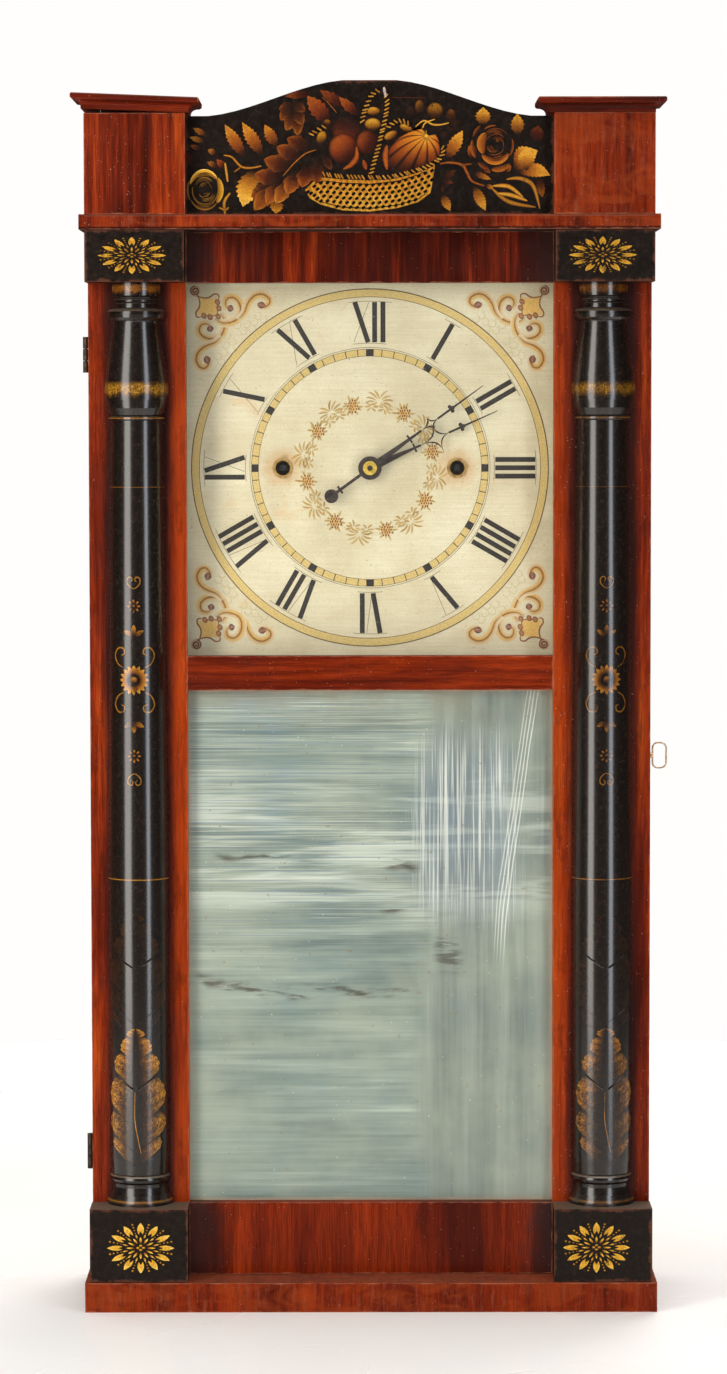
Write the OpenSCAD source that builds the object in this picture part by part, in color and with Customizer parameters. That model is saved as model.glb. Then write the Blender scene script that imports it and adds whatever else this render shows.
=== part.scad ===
// Half-column and splat looking-glass shelf clock with a thirty-hour wooden movement.
// Millimetres, +Z up, front towards -Y, origin at the centre of the base's bottom face.

/* [Case] */
// Width of the base
base_w = 417; // [380:1:450]
// Depth of the base
base_d = 140; // [120:1:160]
// Height of the base
base_h = 21.5; // [15:0.5:30]
// Outer width of the case box
case_w = 406; // [380:1:420]
// Thickness of the side boards
side_t = 12; // [8:0.5:16]
// Height of the underside of the cornice
cornice_z = 786; // [700:1:850]
// Height of the cornice strip
cornice_h = 10.8; // [8:0.2:16]
// Height of the two top pedestals
pedestal_h = 72.2; // [60:0.2:90]
// Width of a top pedestal
pedestal_w = 72.5; // [60:0.5:80]
// Height of a pedestal cap
cap_h = 10.7; // [8:0.1:14]
// Tilt of the loose left cap in degrees
cap_tilt = 2.3; // [0:0.1:4]
// Height of the crest of the splat
crest_z = 893; // [880:1:920]

/* [Door] */
// Width of the door
door_w = 409; // [380:1:430]
// Width of a stile
stile_w = 71; // [60:0.5:80]
// Thickness of the door frame
door_t = 20; // [14:0.5:24]
// Projection of the corner blocks in front of the frame
block_d = 30; // [20:1:40]
// Top of the bottom rail
bottom_rail_z = 75; // [60:1:90]
// Lower edge of the middle rail
mid_rail_z = 452.5; // [420:0.5:500]
// Height of the middle rail
mid_rail_h = 25; // [20:0.5:40]
// Lower edge of the top rail
top_rail_z = 748.5; // [700:0.5:770]
// Distance of the half columns from the middle
column_x = 169.5; // [160:0.5:175]

/* [Dial and hands] */
// Height of the dial centre
dial_z = 614; // [560:1:660]
// Distance of the winding arbors from the dial centre
wind_x = 64; // [60:0.5:70]
// Angle of the minute hand at rest, clockwise from twelve
minute_angle = 54; // [0:1:359]
// Angle of the hour hand at rest, clockwise from twelve
hour_angle = 65.9; // [0:0.1:359]
// Length of both hands from the centre
hand_len = 102.5; // [80:0.5:120]

/* [Movement] */
// Radius of the pendulum bob
bob_r = 22; // [15:1:30]
// Pendulum length from its pivot to the middle of the bob
pendulum_l = 248; // [240:1:256]
// Radius of a driving weight
weight_r = 20.5; // [18:0.5:22]
// Length of a driving weight
weight_l = 140; // [100:1:160]

/* [Hidden] */
$fn = 64;

// Colours
mahogany = [0.42, 0.16, 0.08];
black_paint = [0.08, 0.07, 0.06];
cherry = [0.66, 0.42, 0.24];
pine = [0.76, 0.62, 0.42];
brass = [0.80, 0.62, 0.28];
steel = [0.25, 0.27, 0.32];
cast_iron = [0.20, 0.20, 0.21];
cord_colour = [0.78, 0.70, 0.52];

// Case places
gap = 0.5;
base_front = -base_d / 2;
side_x = case_w / 2 - side_t;
case_front = -17.5;
back_y0 = 58;
back_y1 = 66;
cornice_front_y = base_front + 0.5;
top_z = cornice_z + cornice_h;
cap_z = top_z + pedestal_h;
pedestal_x = 168.75;
pedestal_y0 = base_front + 2;
pedestal_y1 = -24;
pedestal_mid_y = (pedestal_y0 + pedestal_y1) / 2;
splat_y0 = -56;
splat_t = 10;
splat_w = 2 * (pedestal_x - pedestal_w / 2);
shoulder_z = 867.5;

// Door places
door_back = case_front - gap;
door_front = door_back - door_t;
door_z0 = base_h + gap;
door_z1 = cornice_z - gap;
window_x = door_w / 2 - stile_w;
rabbet = 5;
glass_y = -28;
glass_t = 2;
mirror_t = 2.5;
block_outer = 205;
column_y = door_front + 2;

// Hinges
hinge_x = -207.4;
hinge_y = (door_back + case_front) / 2;
hinge_zs = [110, 697];
hinge_l = 26;
barrel_r = 2.2;
pin_r = 1.1;
leaf_t = 1.2;
leaf_inner = -192;

// Latch
latch_z = 403.7;
latch_y = -27;
latch_x = 197;
latch_arm = 15;
latch_pin_r = 1.4;
bow_r = 0.6;
bow_h = 18.4;
bow_w = 10;
bow_x = 206.8;

// Dial and movement layers along Y
dial_y0 = -8;
dial_y1 = -2;
plate_y0 = 12;
plate_t = 6;
plate_y1 = 48;
plate_w = 208;
plate_z0 = dial_z - 72;
plate_z1 = dial_z + 116;
pillar_x = 97;
pillar_zs = [dial_z - 61, dial_z + 108];
run_fit = 0.05;
cord_r = 1;
cord_sides = 8;
cord_y = 36;

// Arbor places as [x, z]
centre_at = [0, dial_z];
minute_wheel_at = [-20, dial_z];
time_great_at = [wind_x, dial_z];
strike_great_at = [-wind_x, dial_z];
escape_at = [18, dial_z + 62];
verge_at = [18, dial_z + 86];
hammer_at = [-88, dial_z + 85];
bell_at = [-44, dial_z + 134];

// Tooth counts
great_n = 72;
centre_pinion_n = 12;
centre_wheel_n = 72;
third_wheel_n = 80;
small_pinion_n = 8;
escape_n = 40;
escape_r = 12.5;
pin_wheel_n = 60;
cannon_n = 12;
minute_wheel_n = 36;
minute_pinion_n = 10;
hour_wheel_n = 40;

// Modules
great_m = 2 * wind_x / (great_n + centre_pinion_n);
centre_m = 0.9;
third_m = 0.8;
strike_m = 1.3;
pin_m = 0.9;
cannon_m = 40 / (cannon_n + minute_wheel_n);
hour_m = 40 / (minute_pinion_n + hour_wheel_n);
tooth_pa = 28;
tooth_play = 0.3;

// The third arbor stands where both centre distances meet
third_r1 = centre_m * (centre_wheel_n + small_pinion_n) / 2;
third_r2 = third_m * (third_wheel_n + small_pinion_n) / 2;
escape_d = norm(escape_at - centre_at);
third_a = (third_r1 * third_r1 - third_r2 * third_r2 + escape_d * escape_d) / (2 * escape_d);
third_b = sqrt(third_r1 * third_r1 - third_a * third_a);
escape_u = (escape_at - centre_at) / escape_d;
third_at = centre_at + third_a * escape_u + third_b * [-escape_u[1], escape_u[0]];

// The pin wheel and the fly stand around the strike great wheel
pin_r_strike = strike_m * (great_n + small_pinion_n) / 2;
pin_wheel_at = strike_great_at + pin_r_strike * [cos(100), sin(100)];
fly_r = pin_m * (pin_wheel_n + small_pinion_n) / 2;
fly_at = pin_wheel_at + fly_r * [cos(60), sin(60)];

// Drums, pulleys and cords
drum_r = 13.8;
drum_cord_r = 15;
drum_arbor_r = 3;
pulley_x = 151;
pulley_z = 755;
pulley_cord_r = 14;
pulley_at = [pulley_x, pulley_z];
drop_x = pulley_x + pulley_cord_r;
weight_z = 26;
eye_r = 3.4;
eye_wire_r = 1.2;
eye_z = weight_z + weight_l + 9;
drop_z = eye_z + eye_r + eye_wire_r;
drop_top = pulley_z - 0.5;
cord_span = pulley_at - time_great_at;
cord_slope = atan2(cord_span[1], cord_span[0]);
cord_cross = asin((drum_cord_r + pulley_cord_r) / norm(cord_span));
cord_normal = cord_slope - 90 + cord_cross;

// Angle in degrees of the line from one arbor to another
function bearing(a, b) = atan2(b[1] - a[1], b[0] - a[0]);

// Involute function of an angle in degrees
function inv(a) = tan(a) - a * PI / 180;

// Half of a tooth's angle at radius r
function half_tooth(n, m, r) =
  let (rp = n * m / 2, rb = rp * cos(tooth_pa), rr = max(r, rb))
  90 / n - tooth_play / 4 / rp * 180 / PI + (inv(tooth_pa) - inv(acos(rb / rr))) * 180 / PI;

// Outline of a spur gear with a tooth centred at angle phase
function gear_points(n, m, phase, steps) =
  let (
    rp = n * m / 2,
    ra = rp + 0.8 * m,
    rr = rp - 1.05 * m,
    rs = max(rr, rp * cos(tooth_pa)),
    radii = concat([rr], [for (i = [0 : steps]) rs + (ra - rs) * i / steps])
  )
  [
    for (k = [0 : n - 1])
      for (s = [-1, 1])
        for (i = [0 : len(radii) - 1])
          let (
            j = s < 0 ? i : len(radii) - 1 - i,
            r = radii[j],
            a = phase + k * 360 / n + s * half_tooth(n, m, r)
          )
          r * [cos(a), sin(a)]
  ];

// Smooth rise from 0 to 1
function ease(t) = let (u = min(max(t, 0), 1)) u * u * (3 - 2 * u);

// A flat shape in front view, at [x, z], from y0 back to y1
module front_view(at, y0, y1) {
  translate([at[0], y1, at[1]])
    rotate([90, 0, 0])
      linear_extrude(y1 - y0)
        children();
}

// A round bar along Y
module bar_y(at, y0, y1, r) {
  translate([at[0], y1, at[1]])
    rotate([90, 0, 0])
      cylinder(r = r, h = y1 - y0);
}

// A box given by its corners
module box(p, q) {
  translate(p)
    cube(q - p);
}

// A spur gear in front view
module gear(at, y0, y1, n, m, phase, steps = 2) {
  front_view(at, y0, y1)
    polygon(gear_points(n, m, phase, steps));
}

module mirror_x() {
  mirror([1, 0, 0])
    children();
}

// ---------- Case ----------

module base() {
  color(mahogany)
    box([-base_w / 2, -base_d / 2, 0], [base_w / 2, base_d / 2, base_h]);
}

// One side board, drawn on the right
module side_board() {
  box([side_x, case_front, base_h], [side_x + side_t, back_y0, cornice_z]);
}

// The board on the hinge side has a recess for each hinge leaf
module case_side_left() {
  color(mahogany)
    difference() {
      mirror_x()
        side_board();
      for (z = hinge_zs)
        box(
          [-case_w / 2 - 1, case_front - 1, z - hinge_l / 2],
          [leaf_inner, case_front + leaf_t, z + hinge_l / 2]
        );
    }
}

// The board on the latch side has a pocket behind a lip for the latch peg
module case_side_right() {
  color(mahogany)
    difference() {
      side_board();
      box([latch_x - 4.5, case_front - 1, latch_z + 3], [latch_x + 4.5, -8, latch_z + 18]);
      box([latch_x - 4.5, case_front + 3, latch_z - 5], [latch_x + 4.5, -8, latch_z + 4]);
      box([latch_x - 1.8, case_front - 1, latch_z - 5], [latch_x + 1.8, -8, latch_z + 4]);
    }
}

// Two cheeks under the top board hold a pulley's axle
module pulley_cheeks() {
  for (y = [cord_y - 7, cord_y + 4])
    difference() {
      box([pulley_x - 8, y, pulley_z - 8], [pulley_x + 8, y + 3, cornice_z]);
      bar_y(pulley_at, y - 1, y + 4, 1.5 + run_fit);
    }
}

module top_board() {
  color(pine) {
    box([-204.5, splat_y0, cornice_z], [204.5, back_y1, top_z]);
    pulley_cheeks();
    mirror_x()
      pulley_cheeks();
  }
}

module backboard() {
  color(pine)
    box([-case_w / 2, back_y0, base_h], [case_w / 2, back_y1, cornice_z]);
}

// The strip in front and its two returns, with a quarter-round nose
module cornice() {
  color(mahogany) {
    box([-205, cornice_front_y + 3, cornice_z], [205, splat_y0, top_z]);
    box([-205, cornice_front_y, cornice_z], [205, cornice_front_y + 3, top_z - 3]);
    intersection() {
      box([-205, cornice_front_y, top_z - 3], [205, cornice_front_y + 3, top_z]);
      translate([-206, cornice_front_y + 3, top_z - 3])
        rotate([0, 90, 0])
          cylinder(r = 3, h = 412);
    }
    for (s = [-1, 1])
      box([s > 0 ? 205 : -209, cornice_front_y, cornice_z], [s > 0 ? 209 : -205, back_y1, top_z]);
  }
}

// One pedestal, drawn on the right
module pedestal() {
  box(
    [pedestal_x - pedestal_w / 2, pedestal_y0, top_z],
    [pedestal_x + pedestal_w / 2, pedestal_y1, cap_z]
  );
}

module pedestal_left() {
  color(mahogany)
    mirror_x()
      pedestal();
}

module pedestal_right() {
  color(mahogany)
    pedestal();
}

// Half-width of the cap moulding against height: fillet, cove, ogee and flat top
function cap_edge(w) = concat(
  [[0, 0], [w - 7.5, 0], [w - 7.5, 1.6]],
  [for (i = [1 : 5]) [w - 7.5 + 6 * (1 - cos(i * 18)), 1.6 + 4.6 * sin(i * 18)]],
  [[w - 0.7, 6.8], [w, 7.6], [w, cap_h - 0.8], [w - 0.8, cap_h], [0, cap_h]]
);

module cap_profile(w) {
  polygon(cap_edge(w));
  mirror([1, 0])
    polygon(cap_edge(w));
}

// A moulded cap, mitred on all four sides, centred on its bottom face
module cap() {
  intersection() {
    translate([0, 40, 0])
      rotate([90, 0, 0])
        linear_extrude(80)
          cap_profile(46);
    translate([-60, 0, 0])
      rotate([90, 0, 90])
        linear_extrude(120)
          cap_profile(32);
  }
}

// The left cap has lifted on its nails and tips up at its outer end
module cap_left() {
  color(mahogany)
    translate([-130, pedestal_mid_y, cap_z + 0.05])
      rotate([0, cap_tilt, 0])
        translate([-38.5, 0, 0])
          cap();
}

module cap_right() {
  color(mahogany)
    translate([166.5, pedestal_mid_y, cap_z])
      cap();
}

module cap_nails() {
  color(steel)
    for (p = [[-193, -60], [-184.5, -40], [-162, -58], [-150, -42]])
      translate([p[0], p[1], cap_z])
        cylinder(r = 0.7, h = (-130.8 - p[0]) * tan(cap_tilt));
}

// Height of the splat's top edge at distance x from the middle
function splat_top(x) =
  let (t = (116 - abs(x)) / 96)
  shoulder_z + (crest_z - shoulder_z) * (0.65 * ease(t) + 0.35 * min(max(t, 0), 1));

module splat() {
  color(mahogany)
    front_view([0, 0], splat_y0, splat_y0 + splat_t)
      polygon(concat(
        [[splat_w / 2, top_z], [splat_w / 2, shoulder_z]],
        [for (i = [0 : 24]) let (x = 116 - i * 232 / 24) [x, splat_top(x)]],
        [[-splat_w / 2, shoulder_z], [-splat_w / 2, top_z]]
      ));
}

// ---------- Fixed inside parts ----------

// Seat battens, dial cleats and the bell's post
module movement_rails() {
  color(pine) {
    for (z = [dial_z - 62, dial_z + 88])
      box([-100, plate_y1 + plate_t, z], [100, back_y0, z + 18]);
    for (s = [-1, 1])
      box([s > 0 ? 174 : -side_x, dial_y1, 480], [s > 0 ? side_x : -174, 8, 750]);
    bar_y(bell_at, 22, back_y0, 3);
    bar_y(bell_at, 20, 22, 6);
  }
}

module dial_board() {
  color([0.90, 0.87, 0.74])
    difference() {
      box([-178, dial_y0, 462], [178, dial_y1, 764]);
      bar_y(centre_at, dial_y0 - 1, dial_y1 + 1, 5.5);
      bar_y(time_great_at, dial_y0 - 1, dial_y1 + 1, 6.2);
      bar_y(strike_great_at, dial_y0 - 1, dial_y1 + 1, 6.2);
    }
}

module winding_bushes() {
  color(brass)
    for (at = [time_great_at, strike_great_at])
      difference() {
        union() {
          bar_y(at, dial_y0, dial_y1, 6.2);
          bar_y(at, dial_y0 - 0.5, dial_y0, 7.4);
        }
        bar_y(at, dial_y0 - 1, dial_y1 + 1, 5.4);
      }
}

// Outline shared by both movement plates
module plate(y0) {
  box([-plate_w / 2, y0, plate_z0], [plate_w / 2, y0 + plate_t, plate_z1]);
}

// Pivot holes through a plate, with the larger ones for the drum arbors
module plate_holes(y0) {
  for (at = [third_at, pin_wheel_at, fly_at, hammer_at])
    bar_y(at, y0 - 1, y0 + plate_t + 1, 1.2 + run_fit);
  bar_y(escape_at, y0 - 1, y0 + plate_t + 1, 1.5 + run_fit);
  bar_y(centre_at, y0 - 1, y0 + plate_t + 1, 2 + run_fit);
  for (at = [time_great_at, strike_great_at])
    bar_y(at, y0 - 1, y0 + plate_t + 1, drum_arbor_r + run_fit);
}

// Front plate with the pin that carries the verge and the pendulum
module front_plate() {
  color(cherry) {
    difference() {
      plate(plate_y0);
      plate_holes(plate_y0);
      bar_y(minute_wheel_at, plate_y0 - 1, plate_y0 + plate_t + 1, 1.5 + run_fit);
    }
    bar_y(verge_at, 2.4, plate_y0, 1);
  }
}

module back_plate() {
  color(cherry) {
    difference() {
      plate(plate_y1);
      plate_holes(plate_y1);
    }
    for (x = [-pillar_x, pillar_x])
      for (z = pillar_zs)
        bar_y([x, z], plate_y0 + plate_t, plate_y1, 5);
  }
}

// Outer edge of the bell from the crown to the mouth
function bell_edge(r, h, y) = [for (i = [0 : 8]) [r * sin(i * 11.25), y - h * cos(i * 11.25)]];

module bell() {
  color(cast_iron)
    translate([bell_at[0], 0, bell_at[1]])
      rotate([-90, 0, 0])
        rotate_extrude()
          difference() {
            polygon(concat(bell_edge(28, 22, 44), [[0, 44]]));
            polygon(concat(bell_edge(25.8, 19.6, 44), [[25.8, 45], [0, 45]]));
            square([3, 60]);
          }
}

// ---------- Hinges ----------

// A knuckle with its bore
module knuckle(z0, z1, bore) {
  difference() {
    translate([hinge_x, hinge_y, z0])
      cylinder(r = barrel_r, h = z1 - z0);
    translate([hinge_x, hinge_y, z0 - 1])
      cylinder(r = bore, h = z1 - z0 + 2);
  }
}

// Leaves on the case, with the middle knuckle and the pin
module hinge_case_leaves() {
  color(steel)
    for (z = hinge_zs) {
      knuckle(z - 4.3, z + 4.3, pin_r);
      translate([hinge_x, hinge_y, z - hinge_l / 2])
        cylinder(r = pin_r, h = hinge_l);
      difference() {
        box([hinge_x, case_front, z - 4.3], [leaf_inner, case_front + leaf_t, z + 4.3]);
        translate([hinge_x, hinge_y, z - 14])
          cylinder(r = pin_r, h = 28);
      }
      box([-case_w / 2, case_front, z - hinge_l / 2], [leaf_inner, case_front + leaf_t, z + hinge_l / 2]);
    }
}

module hinge_door_leaves() {
  color(steel)
    for (z = hinge_zs) {
      for (s = [-1, 1])
        difference() {
          union() {
            knuckle(min(z + s * 4.6, z + s * 13), max(z + s * 4.6, z + s * 13), pin_r + run_fit);
            box(
              [hinge_x, door_back - leaf_t, min(z + s * 4.6, z + s * 13)],
              [leaf_inner, door_back, max(z + s * 4.6, z + s * 13)]
            );
          }
          translate([hinge_x, hinge_y, z - 14])
            cylinder(r = pin_r + run_fit, h = 28);
        }
      box(
        [-door_w / 2, door_back - leaf_t, z - hinge_l / 2],
        [leaf_inner, door_back, z + hinge_l / 2]
      );
    }
}

// ---------- Door ----------

// Rabbets for the two glass panels
module rabbets() {
  box(
    [-window_x - rabbet, glass_y, mid_rail_z + mid_rail_h - rabbet],
    [window_x + rabbet, door_back + 1, top_rail_z + rabbet]
  );
  box(
    [-window_x - rabbet, glass_y, bottom_rail_z - rabbet],
    [window_x + rabbet, door_back + 1, mid_rail_z + rabbet]
  );
}

// A stile, drawn on the right
module stile() {
  difference() {
    box([window_x, door_front, door_z0], [door_w / 2, door_back, door_z1]);
    rabbets();
  }
}

module stile_left() {
  color(mahogany)
    difference() {
      mirror_x()
        stile();
      for (z = hinge_zs)
        box(
          [-door_w / 2 - 1, door_back - leaf_t, z - hinge_l / 2],
          [leaf_inner, door_back + 1, z + hinge_l / 2]
        );
    }
}

// The right stile is slotted for the latch arm and bored for its shaft
module stile_right() {
  color(mahogany)
    difference() {
      stile();
      box([latch_x - 4.5, latch_y - 4, latch_z - 7], [latch_x + 4.5, door_back + 1, latch_z + 19]);
      translate([latch_x - 7, latch_y, latch_z])
        rotate([0, 90, 0])
          cylinder(r = 2 + run_fit, h = 20);
    }
}

// A rail between the stiles
module rail(z0, z1) {
  color(mahogany)
    difference() {
      box([-window_x, door_front, z0], [window_x, door_back, z1]);
      rabbets();
    }
}

module rail_top() {
  rail(top_rail_z, door_z1);
}

module rail_mid() {
  rail(mid_rail_z, mid_rail_z + mid_rail_h);
}

module rail_bottom() {
  rail(door_z0, bottom_rail_z);
}

// A corner block in front of the frame, drawn on the right
module block(z0, z1) {
  box([window_x, door_front - block_d, z0], [block_outer, door_front, z1]);
}

module block_top_left() {
  color(black_paint)
    mirror_x()
      block(top_rail_z, door_z1);
}

module block_top_right() {
  color(black_paint)
    block(top_rail_z, door_z1);
}

module block_bottom_left() {
  color(black_paint)
    mirror_x()
      block(door_z0, bottom_rail_z + 0.5);
}

module block_bottom_right() {
  color(black_paint)
    block(door_z0, bottom_rail_z + 0.5);
}

// Half of a rounded bead between two heights, bulging from radius r
function bead(r, z0, z1) =
  let (h = (z1 - z0) / 2)
  [for (i = [0 : 6]) [r - h + h * sin(i * 30), z0 + h - h * cos(i * 30)]];

// Turned outline of a column from foot to top
column_edge = concat(
  [[0, 75.5], [24.5, 75.5], [24.5, 77.5], [23.2, 80], [21.8, 83], [21, 86], [20.6, 88.5], [20.6, 91]],
  bead(22.7, 91, 98),
  [[21.6, 98.4], [22.2, 110], [22.3, 315], [21.2, 480], [19.4, 649]],
  bead(20.5, 649, 652),
  [[19.9, 653], [21.8, 658], [23, 664], [23.3, 671], [22.6, 683], [20.6, 698], [18.6, 711], [17.4, 720]],
  bead(22.2, 721, 730),
  [[16, 730.5], [15.4, 733.5]],
  bead(16.6, 734, 737),
  [[15.6, 738], [17.6, 739.5], [17.6, 748.5], [0, 748.5]]
);

// A half column, drawn on the right
module column() {
  intersection() {
    translate([column_x, column_y, 0])
      rotate_extrude()
        polygon(column_edge);
    box([column_x - 40, door_front - 40, 70], [column_x + 40, door_front, 760]);
  }
}

module column_left() {
  color(black_paint)
    mirror_x()
      column();
}

module column_right() {
  color(black_paint)
    column();
}

module dial_glass() {
  color([0.75, 0.85, 0.85, 0.35])
    box(
      [-window_x - rabbet + 0.5, glass_y, mid_rail_z + mid_rail_h - rabbet + 0.5],
      [window_x + rabbet - 0.5, glass_y + glass_t, top_rail_z + rabbet - 0.5]
    );
}

module looking_glass() {
  color([0.72, 0.78, 0.80])
    box(
      [-window_x - rabbet + 0.5, glass_y, bottom_rail_z - rabbet + 0.5],
      [window_x + rabbet - 0.5, glass_y + mirror_t, mid_rail_z + rabbet - 0.5]
    );
}

module glass_backing() {
  color(pine)
    box(
      [-window_x - rabbet + 0.5, glass_y + mirror_t, bottom_rail_z - rabbet + 0.5],
      [window_x + rabbet - 0.5, door_back - 1, mid_rail_z + rabbet - 0.5]
    );
}

// A quarter or half turn of bow wire in the XZ plane
module bow_bend(at, r, a0, sweep) {
  translate([at[0], latch_y, at[1]])
    rotate([90, 0, 0])
      rotate([0, 0, a0])
        rotate_extrude(angle = sweep)
          translate([r, 0])
            circle(r = bow_r);
}

// Latch shaft with a pegged arm inside the stile and a wire bow outside
module door_latch() {
  bend = 4;
  x1 = bow_x + bend;
  x2 = bow_x + bow_w - bend;
  color(steel) {
    translate([latch_x - 6.5, latch_y, latch_z])
      rotate([0, 90, 0])
        cylinder(r = 2, h = 16.3);
    translate([latch_x - 1.5, latch_y - 1.5, latch_z])
      cube([3, 3, latch_arm + latch_pin_r]);
    translate([latch_x - 3.5, latch_y, latch_z + latch_arm])
      rotate([0, 90, 0])
        cylinder(r = latch_pin_r, h = 7);
    for (s = [-1, 1]) {
      z = latch_z + s * (bow_h / 2 - bend);
      translate([x1, latch_y, latch_z + s * bow_h / 2])
        rotate([0, 90, 0])
          cylinder(r = bow_r, h = x2 - x1);
      bow_bend([x1, z], bend, s > 0 ? 90 : 180, 90);
      bow_bend([x2, z], bend, s > 0 ? 0 : 270, 90);
    }
    for (x = [bow_x, bow_x + bow_w])
      translate([x, latch_y, latch_z - bow_h / 2 + bend])
        cylinder(r = bow_r, h = bow_h - 2 * bend);
  }
}

// ---------- Hands ----------

// A flat bar between two points
module bar_2d(a, b, w) {
  d = b - a;
  n = [-d[1], d[0]] / norm(d) * w / 2;
  polygon([a - n, b - n, b + n, a + n]);
}

// One hollow side of a diamond, from point a to point b, drawn in towards point c
function hollow_side(a, b, c) =
  [for (i = [0 : 5]) let (t = i / 6) (1 - t) * (1 - t) * a + 2 * t * (1 - t) * c + t * t * b];

// A diamond with hollow sides around [0, y1], scaled by k
module diamond_outline(y0, y1, y2, half_w, k) {
  c = [0, y1];
  bottom = c + k * [0, y0 - y1];
  right = c + k * [half_w, 0];
  top = c + k * [0, y2 - y1];
  left = c - k * [half_w, 0];
  polygon(concat(
    hollow_side(bottom, right, c), hollow_side(right, top, c),
    hollow_side(top, left, c), hollow_side(left, bottom, c)
  ));
}

// The same diamond pierced so that only thin bars are left
module diamond_2d(y0, y1, y2, half_w, k) {
  difference() {
    diamond_outline(y0, y1, y2, half_w, 1);
    diamond_outline(y0, y1, y2, half_w, k);
  }
}

// Three small lobes and a bar where the pointer begins
module trefoil_2d(y, r) {
  for (p = [[-1.3 * r, 0], [1.3 * r, 0], [0, 1.2 * r]])
    translate([0, y] + p)
      circle(r = r, $fn = 24);
  bar_2d([-1.5 * r, y], [1.5 * r, y], r);
}

// One hand pointing up, with its pierced diamond between d0 and d2
module hand_2d(hub_r, d0, d1, d2, half_w, k, root_w) {
  difference() {
    union() {
      circle(r = hub_r);
      polygon([
        [-root_w / 2, 0], [root_w / 2, 0], [1, d0 - 6], [0.7, d0 + 1.5], [-0.7, d0 + 1.5], [-1, d0 - 6]
      ]);
      bar_2d([-3.4, 36], [3.4, 36], 1.5);
      diamond_2d(d0, d1, d2, half_w, k);
      bar_2d([0, d2 - 2], [0, 74], 1.6);
      trefoil_2d(73.5, 1.4);
      polygon([[-0.8, 74], [0.8, 74], [0.25, hand_len], [-0.25, hand_len]]);
    }
    circle(r = 2);
  }
}

module minute_hand() {
  color(steel)
    front_view(centre_at, -15.5, -14.7)
      rotate([0, 0, -minute_angle]) {
        hand_2d(8.6, 45.3, 55.2, 63.2, 6.9, 0.58, 5.4);
        bar_2d([0, -8], [0, -33], 2.2);
        bar_2d([-3.2, -27], [3.2, -27], 1.6);
        translate([0, -35])
          circle(r = 5.1);
      }
}

module hour_hand() {
  color(steel)
    front_view(centre_at, -12.6, -11.8)
      rotate([0, 0, -hour_angle])
        difference() {
          hand_2d(8.6, 39.6, 54.4, 65.4, 11.8, 0.74, 6.4);
          circle(r = 3.4);
        }
}

// Washer in front of the minute hand, with the pin across the arbor
module hand_washer() {
  color(brass) {
    difference() {
      bar_y(centre_at, -16.5, -15.5, 5.1);
      bar_y(centre_at, -17, -15, 2);
    }
    difference() {
      translate([-5, -17.3, dial_z])
        rotate([0, 90, 0])
          cylinder(r = 0.7, h = 10);
      bar_y(centre_at, -19, -16, 2);
    }
  }
}

// ---------- Motion work and time train ----------

module minute_arbor() {
  color(cherry) {
    bar_y(centre_at, -18.6, 53, 2);
    gear(centre_at, 19.5, 25.5, centre_pinion_n, great_m, 180 / centre_pinion_n, 3);
    gear(centre_at, 40, 43, centre_wheel_n, centre_m, bearing(centre_at, third_at));
    gear(centre_at, 7.2, 10.2, cannon_n, cannon_m, 180, 3);
  }
}

module hour_wheel() {
  color(cherry)
    difference() {
      union() {
        bar_y(centre_at, -13, 6.9, 3.4);
        gear(centre_at, -1.2, 1.8, hour_wheel_n, hour_m, 180);
      }
      bar_y(centre_at, -14, 8, 2 + run_fit);
    }
}

module minute_wheel() {
  color(cherry) {
    bar_y(minute_wheel_at, -1.4, 17, 1.5);
    bar_y(minute_wheel_at, 1.8, 7.2, 2.6);
    gear(minute_wheel_at, 7.2, 10.2, minute_wheel_n, cannon_m, 180 / minute_wheel_n);
    gear(minute_wheel_at, -1.2, 1.8, minute_pinion_n, hour_m, 180 / minute_pinion_n, 3);
  }
}

// A great wheel loose on its drum's arbor, with a click for the drum's ratchet
module great_wheel(at, m, phase, side) {
  difference() {
    union() {
      gear(at, 20, 25, great_n, m, phase);
      front_view(at, 25, 27.6)
        rotate([0, 0, side > 0 ? 90 : 84])
          translate([18.6, -6])
            square([3, 12]);
    }
    bar_y(at, 19, 29, drum_arbor_r + run_fit);
  }
}

module time_great_wheel() {
  color(cherry)
    great_wheel(time_great_at, great_m, 180, 1);
}

module strike_great_wheel() {
  color(cherry)
    great_wheel(strike_great_at, strike_m, bearing(strike_great_at, pin_wheel_at), -1);
}

// A winding drum with its ratchet, arbor and square end
module drum(at, side) {
  bar_y(at, -1, 53, drum_arbor_r);
  front_view(at, -4.2, -1)
    square([4.2, 4.2], center = true);
  bar_y(at, 28, 40, drum_r);
  bar_y(at, 40, 42, 18);
  front_view(at, 25.6, 28)
    polygon([
      for (i = [0 : 23])
        for (r = [18, 16.2])
          r * [cos(side * i * 15), sin(side * i * 15)]
    ]);
}

module time_drum() {
  color(cherry)
    drum(time_great_at, 1);
}

module strike_drum() {
  color(cherry)
    drum(strike_great_at, -1);
}

// An arbor with a pivot at each end
module arbor(at, r) {
  bar_y(at, 18.3, 47.7, r);
  bar_y(at, 12.5, 53.5, 1.2);
}

module third_wheel() {
  color(cherry) {
    arbor(third_at, 1.8);
    gear(
      third_at, 38.5, 44.5, small_pinion_n, centre_m,
      bearing(third_at, centre_at) + 180 / small_pinion_n, 3
    );
    gear(third_at, 30, 33, third_wheel_n, third_m, bearing(third_at, escape_at));
  }
}

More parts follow.
